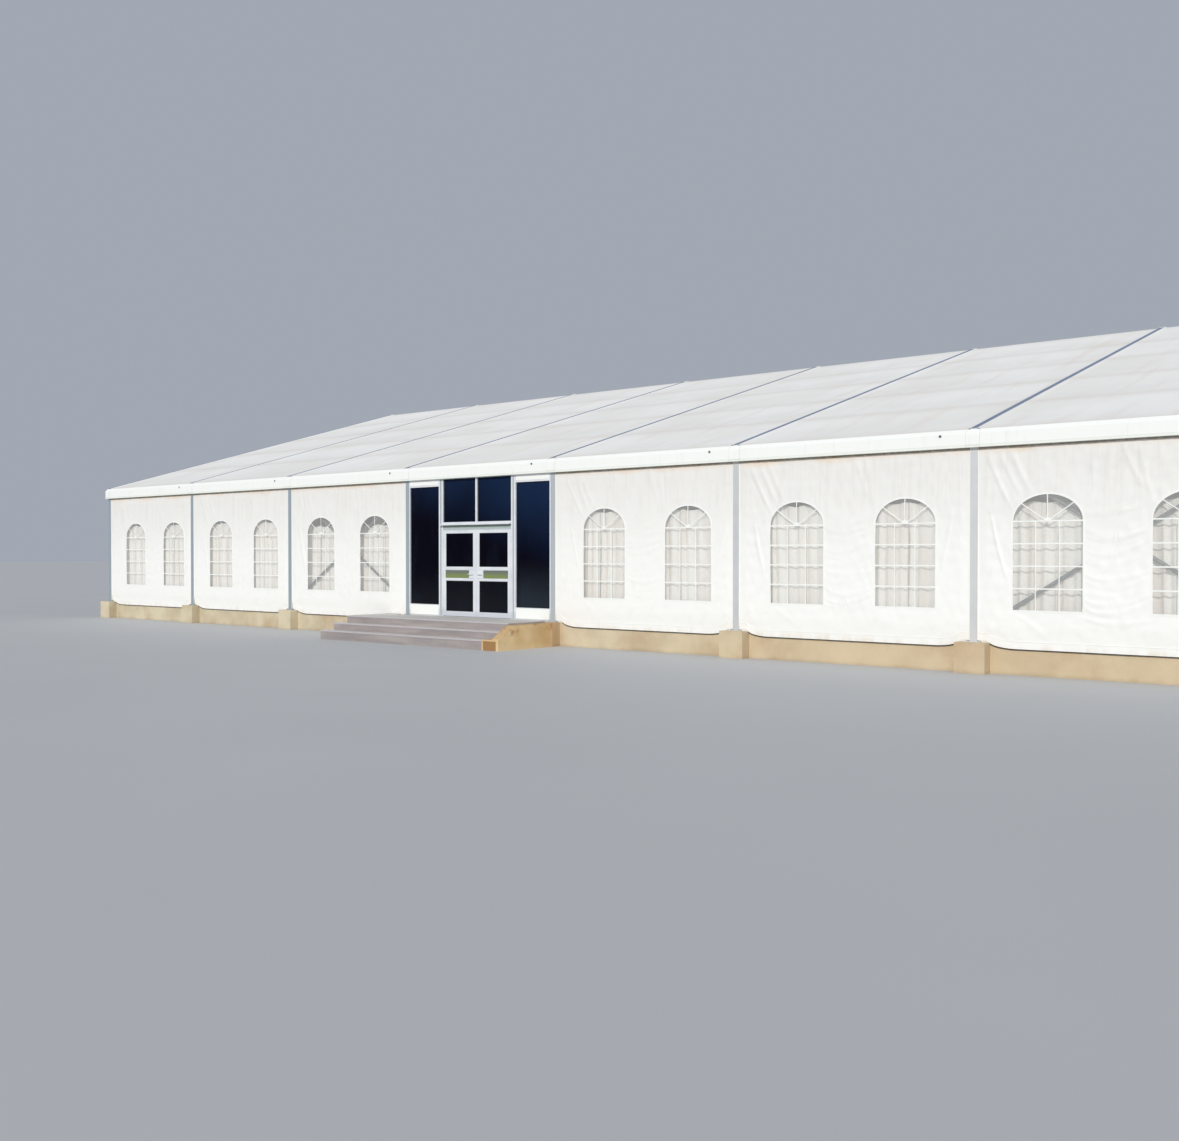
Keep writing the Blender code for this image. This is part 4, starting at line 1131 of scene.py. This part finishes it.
for index, inner in CURTAIN_EDGES.items():
    edges = [BAY_MIDDLES["front"][index] + e for e in (-CURTAIN_HALF, *inner, CURTAIN_HALF)]
    hang_curtains("front", index, edges, curtain_reach(index), 400, fine=True,
                  top={2: 2.94, 6: 3.05}.get(index, CURTAIN_TOP))
for index, middle in enumerate(BAY_MIDDLES["back"]):
    edges = [middle + e for e in (-CURTAIN_HALF, -0.9, 0.8, CURTAIN_HALF)]
    hang_curtains("back", index, edges, curtain_reach(6 - index), 500)
for side in ("left", "right"):
    for index, middle in enumerate(BAY_MIDDLES[side]):
        edges = [max(middle - BAY / 2, -CURTAIN_END), middle + 0.1,
                 min(middle + BAY / 2, CURTAIN_END)]
        hang_curtains(side, index, edges, 0.105, 600)
print("curtains hung")


# %% [markdown]
# The cloth is held in the legs by a round bead that slides in a groove. The bead shows as a
# white line on both sides of every leg and gable post. Bolts hold the base plates down.

# %% Beads along the legs and bolts at their feet
BEAD_RADIUS = 0.007
LEG_ROWS = {"front": (FRAME_XS, WALL_TOP, HALF_LENGTH), "back": (FRAME_XS, WALL_TOP, HALF_LENGTH),
            "left": (POST_YS, GABLE_WALL_TOP, HALF_SPAN),
            "right": (POST_YS, GABLE_WALL_TOP, HALF_SPAN)}


def beside_legs(side, offset):
    """Places left and right of each leg where a sheet hangs: not in the entrance bay."""
    places, _, half = LEG_ROWS[side]
    for u in places:
        for hand in (-1, 1):
            out = abs(u + hand * offset)
            if out < half and not (side == "front" and out < BAY / 2):
                yield u, hand


def bead_lines(side):
    """Beads just outside both faces of each leg, from above its base plate to the top."""
    offset = LEG_FACE + BEAD_RADIUS
    level = (PLINTH_TOP + 0.03, LEG_ROWS[side][1])
    return join([carry(stand(side, u + hand * offset, level, 0.034), rod(BEAD_RADIUS),
                       outward(side)) for u, hand in beside_legs(side, offset)])


def foot_clamps(side):
    """White strips on the piers, behind the raised hem on both sides of each base plate."""
    return join([carry(stand(side, np.sort(u + hand * np.array([0.1215, 0.29])),
                             PLINTH_TOP + 0.018, -0.014), rectangle(0.008, 0.035), UP)
                 for u, hand in beside_legs(side, 0.29)])


def bolt(side, u):
    """A hexagon head on a washer, standing on a base plate."""
    base = PLINTH_TOP + 0.0205
    foot = stand(side, u, (base, base + 0.004), 0.068)
    head = foot + np.array([(0, 0, 0.004), (0, 0, 0.016)])
    return [carry(foot, rod(0.02, 16), (1, 0, 0)), carry(head, rod(0.013, 6), (1, 0, 0))]


for side in SIDES:
    piece(f"keder_beads_{side}", *bead_lines(side), trim_white, "wall_fabric")
    if side in ("front", "back"):
        bolts = [b for x in FRAME_XS for hand in (-1, 1) for b in bolt(side, x + hand * 0.092)]
        piece(f"base_bolts_{side}", *join(bolts), steel, "aluminium")
    piece(f"foot_clamps_{side}", *foot_clamps(side), trim_white, "wall_fabric")
print("beads and bolts set")

# %% [markdown]
# The fascia is closed at both ends, and a small grey drain plug sits near its upper edge,
# 60 cm to the left of every leg.

# %% Fascia plugs
PLUG_LEVEL = 4.248
depth = FASCIA_FACE - HALF_SPAN
for side, hand in (("front", -1), ("back", 1)):
    plugs = [carry(stand(side, x - 0.6, PLUG_LEVEL, np.array([depth - 0.01, depth + 0.006])),
                   rod(0.026, 16), UP) for x in FRAME_XS[1:]]
    piece(f"fascia_plugs_{side}", *join(plugs), galvanised, "aluminium")
    back, face, foot = LEG_OUTER + 0.0025, FASCIA_FACE - 0.002, FASCIA_FOOT + 0.01
    section = [(back, foot), (back, 4.335), (face, 4.26), (face, foot)]
    section = [(-hand * u, z) for u, z in section[::-hand]]
    ends = [carry([(x - 0.0015, 0, 0), (x + 0.0015, 0, 0)], section, UP)
            for x in (-FASCIA_END, FASCIA_END)]
    piece(f"fascia_ends_{side}", *join(ends), trim_white, "fascia_white")
print("plugs and ends in both fascias")

# %% [markdown]
# The entrance gets its small parts: black seals round every pane, white infill panels over
# and under the side lights, slim grey covers along the two posts between side lights and
# doors, a thin hood that throws a shadow on the green-grey header, and a threshold plate that
# runs from the platform to the floor slab.

# %% Entrance trim
FRAME_FACE = -LEG_OUTER
CLEAR = 0.0005
SEAL_WIDTH = 0.014
HEAD_TOP = 4.0


def plate(x0, x1, z0, z1, proud):
    """A flat plate on the entrance's front, standing out from it by proud."""
    return slab((x0, FRAME_FACE - proud, z0), (x1, FRAME_FACE - CLEAR, z1))


def seal_ring(low, high, z0, z1):
    """Four bars round a pane's rectangle: two level ones, and two between them."""
    w = SEAL_WIDTH
    x0, x1, front, back = low[0], high[0], low[1] - 0.009, low[1] - CLEAR
    return [slab((x0, front, z0), (x1, back, z0 + w)),
            slab((x0, front, z1 - w), (x1, back, z1)),
            slab((x0, front, z0 + w), (x0 + w, back, z1 - w)),
            slab((x1 - w, front, z0 + w), (x1, back, z1 - w))]


seals, kicks, heads = [], [], []
for name in ("sidelight_left", "sidelight_right", "transom_left", "transom_right"):
    low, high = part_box(name)
    seals += seal_ring(low, high, low[2], high[2])
    if name.startswith("sidelight"):
        left, right = low[0] + 0.012, high[0] - 0.012
        kicks.append(plate(left, right, FLOOR_TOP + 0.02, low[2] - 0.02, 0.0035))
        heads.append(plate(left, right, high[2] + 0.045, HEAD_TOP, 0.0035))
door_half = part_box("transom_right")[1][0]
post = (door_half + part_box("sidelight_right")[0][0]) / 2
covers = [plate(x - 0.02, x + 0.02, FLOOR_TOP + 0.01, HEAD_TOP, 0.006) for x in (-post, post)]
header_low, header_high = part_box("door_leaf_left")[1][2] + 0.005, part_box("transom_left")[0][2]
hood = plate(-door_half - 0.05, door_half + 0.015, header_high - 0.078, header_high - 0.046, 0.095)
band = plate(-door_half + 0.005, door_half - 0.005, header_low + 0.012, header_high - 0.08, 0.004)
sill = slab((-door_half + 0.004, FRAME_FACE - 0.012, FLOOR_TOP + 0.0003),
            (door_half - 0.004, FRAME_FACE + 0.44, FLOOR_TOP + 0.0045))
piece("glass_seals", *join(seals), black_seal, "dark_glass")
piece("kick_panels", *join(kicks), trim_white, "frame_white", bevel=0.001)
piece("head_panels", *join(heads), trim_white, "frame_white", bevel=0.001)
piece("post_covers", *join(covers), aluminium, "aluminium", bevel=0.001)
piece("header_hood", *hood, coated_white, "frame_white", bevel=0.002)
# The band's upper part is painted darker: painted shadow of the hood, on top of its real shadow.
piece("header_band", *band, green_plate, "aluminium", bevel=0.001)
piece("threshold", *sill, steel, "aluminium", bevel=0.001)
print("entrance trimmed, header from", round(header_low, 3), "to", round(header_high, 3))


# %% [markdown]
# Each door leaf has black seals and a green-grey plate between two white bars, with its lock
# block and lever handle. They swing with it, so each piece rides on its own leaf's body.

# %% Door leaf trim
RAIL_LOW, RAIL_HIGH = 1.47, 1.82
LEVER_LEVEL = 1.64
LOCK_LEVEL = 1.575


def leaf_plate(hand, inner, outer, low, high, proud):
    """A flat bar on a leaf's front, from inner to outer distance off the doors' middle."""
    return plate(*sorted((hand * inner, hand * outer)), low, high, proud)


for word, hand in (("left", -1), ("right", 1)):
    body = f"leaf_{word}"
    low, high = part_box(f"door_glass_{word}")
    near, far = sorted((abs(low[0]), abs(high[0])))
    rims = seal_ring(low, high, low[2], RAIL_LOW) + seal_ring(low, high, RAIL_HIGH, high[2])
    piece(f"leaf_seals_{word}", *join(rims), black_seal, "dark_glass", body)
    # The plate greys towards its top: painted shade under the white bar above it.
    green = leaf_plate(hand, near + 0.14, far + 0.012, 1.54, 1.735, 0.0035)
    piece(f"leaf_plate_{word}", *green, green_plate, "aluminium", body, bevel=0.001)
    bars = [leaf_plate(hand, near - 0.06, far + 0.02, 1.748, 1.815, 0.008),
            leaf_plate(hand, near - 0.06, far + 0.02, 1.475, 1.528, 0.008),
            leaf_plate(hand, near - 0.075, near + 0.125, 1.533, 1.743, 0.012)]
    piece(f"leaf_bars_{word}", *join(bars), coated_white, "frame_white", body, bevel=0.0015)
    x, face = hand * (near - 0.01), FRAME_FACE - 0.012
    turn = np.linspace(0, np.pi / 2, 6)
    bend = stacked(x + hand * 0.02 * (1 - np.cos(turn)), face - 0.035 - 0.02 * np.sin(turn),
                   LEVER_LEVEL)
    lever = [(x, face, LEVER_LEVEL), *bend, (x + hand * 0.13, face - 0.055, LEVER_LEVEL)]
    parts = [carry(lever, rod(0.009, 12), UP)]
    for level, depth, section in ((LEVER_LEVEL, 0.007, rod(0.026, 24)),
                                  (LOCK_LEVEL, 0.009, rod(0.013, 20))):
        parts.append(carry([(x, face, level), (x, face - depth, level)], section, UP))
    piece(f"leaf_handle_{word}", *join(parts), coated_white, "aluminium", body)
print("leaves trimmed")

# %% [markdown]
# Each step has a paler stone nosing that laps over its front and its left edge.

# %% Step nosings
STEP_EDGES = ((-3.17, 2.4395, -13.98, FLOOR_TOP), (-3.345, 2.4395, -14.26, FLOOR_TOP - 0.18),
              (-3.52, 2.159, -14.54, FLOOR_TOP - 0.36))
PLATFORM_BACK, STEP_BACK = -12.53, -12.76
NOSING_DEPTH = 0.05
nosings = []
for left, right, front, top in STEP_EDGES:
    low, high = top - 0.022, top + 0.004
    turn = front + NOSING_DEPTH
    back = STEP_BACK if top < FLOOR_TOP else PLATFORM_BACK
    nosings.append(slab((left - 0.005, front - 0.006, low), (right, turn, high)))
    nosings.append(slab((left - 0.005, turn, low), (left + NOSING_DEPTH, back, high)))
piece("step_nosings", *join(nosings), nosing_stone, "step_stone", bevel=0.003)
print("nosings on", len(STEP_EDGES), "steps")

# %% [markdown]
# A plain pale floor and a soft studio light. One broad key stands behind the camera's left
# shoulder, a third of the way up, so the folds and the shadow under the fascia show. A pale
# world fills the rest.

# %% Floor and light
def floor_looks(place):
    """Plain pale floor with the faintest mottle."""
    tone = place.noise(0.2, 2.0).mix((190, 191, 192), (196, 197, 198))
    return {"Base Color": tone, "Roughness": 0.8}


far = 400.0
ground = bpy.data.meshes.new("studio_floor")
ground.from_pydata([(-far, -far, 0), (far, -far, 0), (far, far, 0), (-far, far, 0)], [],
                   [(0, 1, 2, 3)])
ground.materials.append(finish("studio_floor", floor_looks))
studio_floor = add("studio_floor", ground)

key_data = bpy.data.lights.new("key", "SUN")
key_data.energy = 2.34
key_data.angle = math.radians(3)
key_data.color = (1.0, 0.98, 0.95)
key = add("key", key_data)
key.rotation_euler = (math.radians(63), 0, math.radians(22))

world = bpy.data.worlds.new("studio")
world.use_nodes = True
background = world.node_tree.nodes["Background"]
background.inputs["Color"].default_value = (0.62, 0.68, 0.78, 1)
background.inputs["Strength"].default_value = 0.58
bpy.context.scene.world = world
bpy.context.scene.view_settings.view_transform = "Standard"
print("lit")
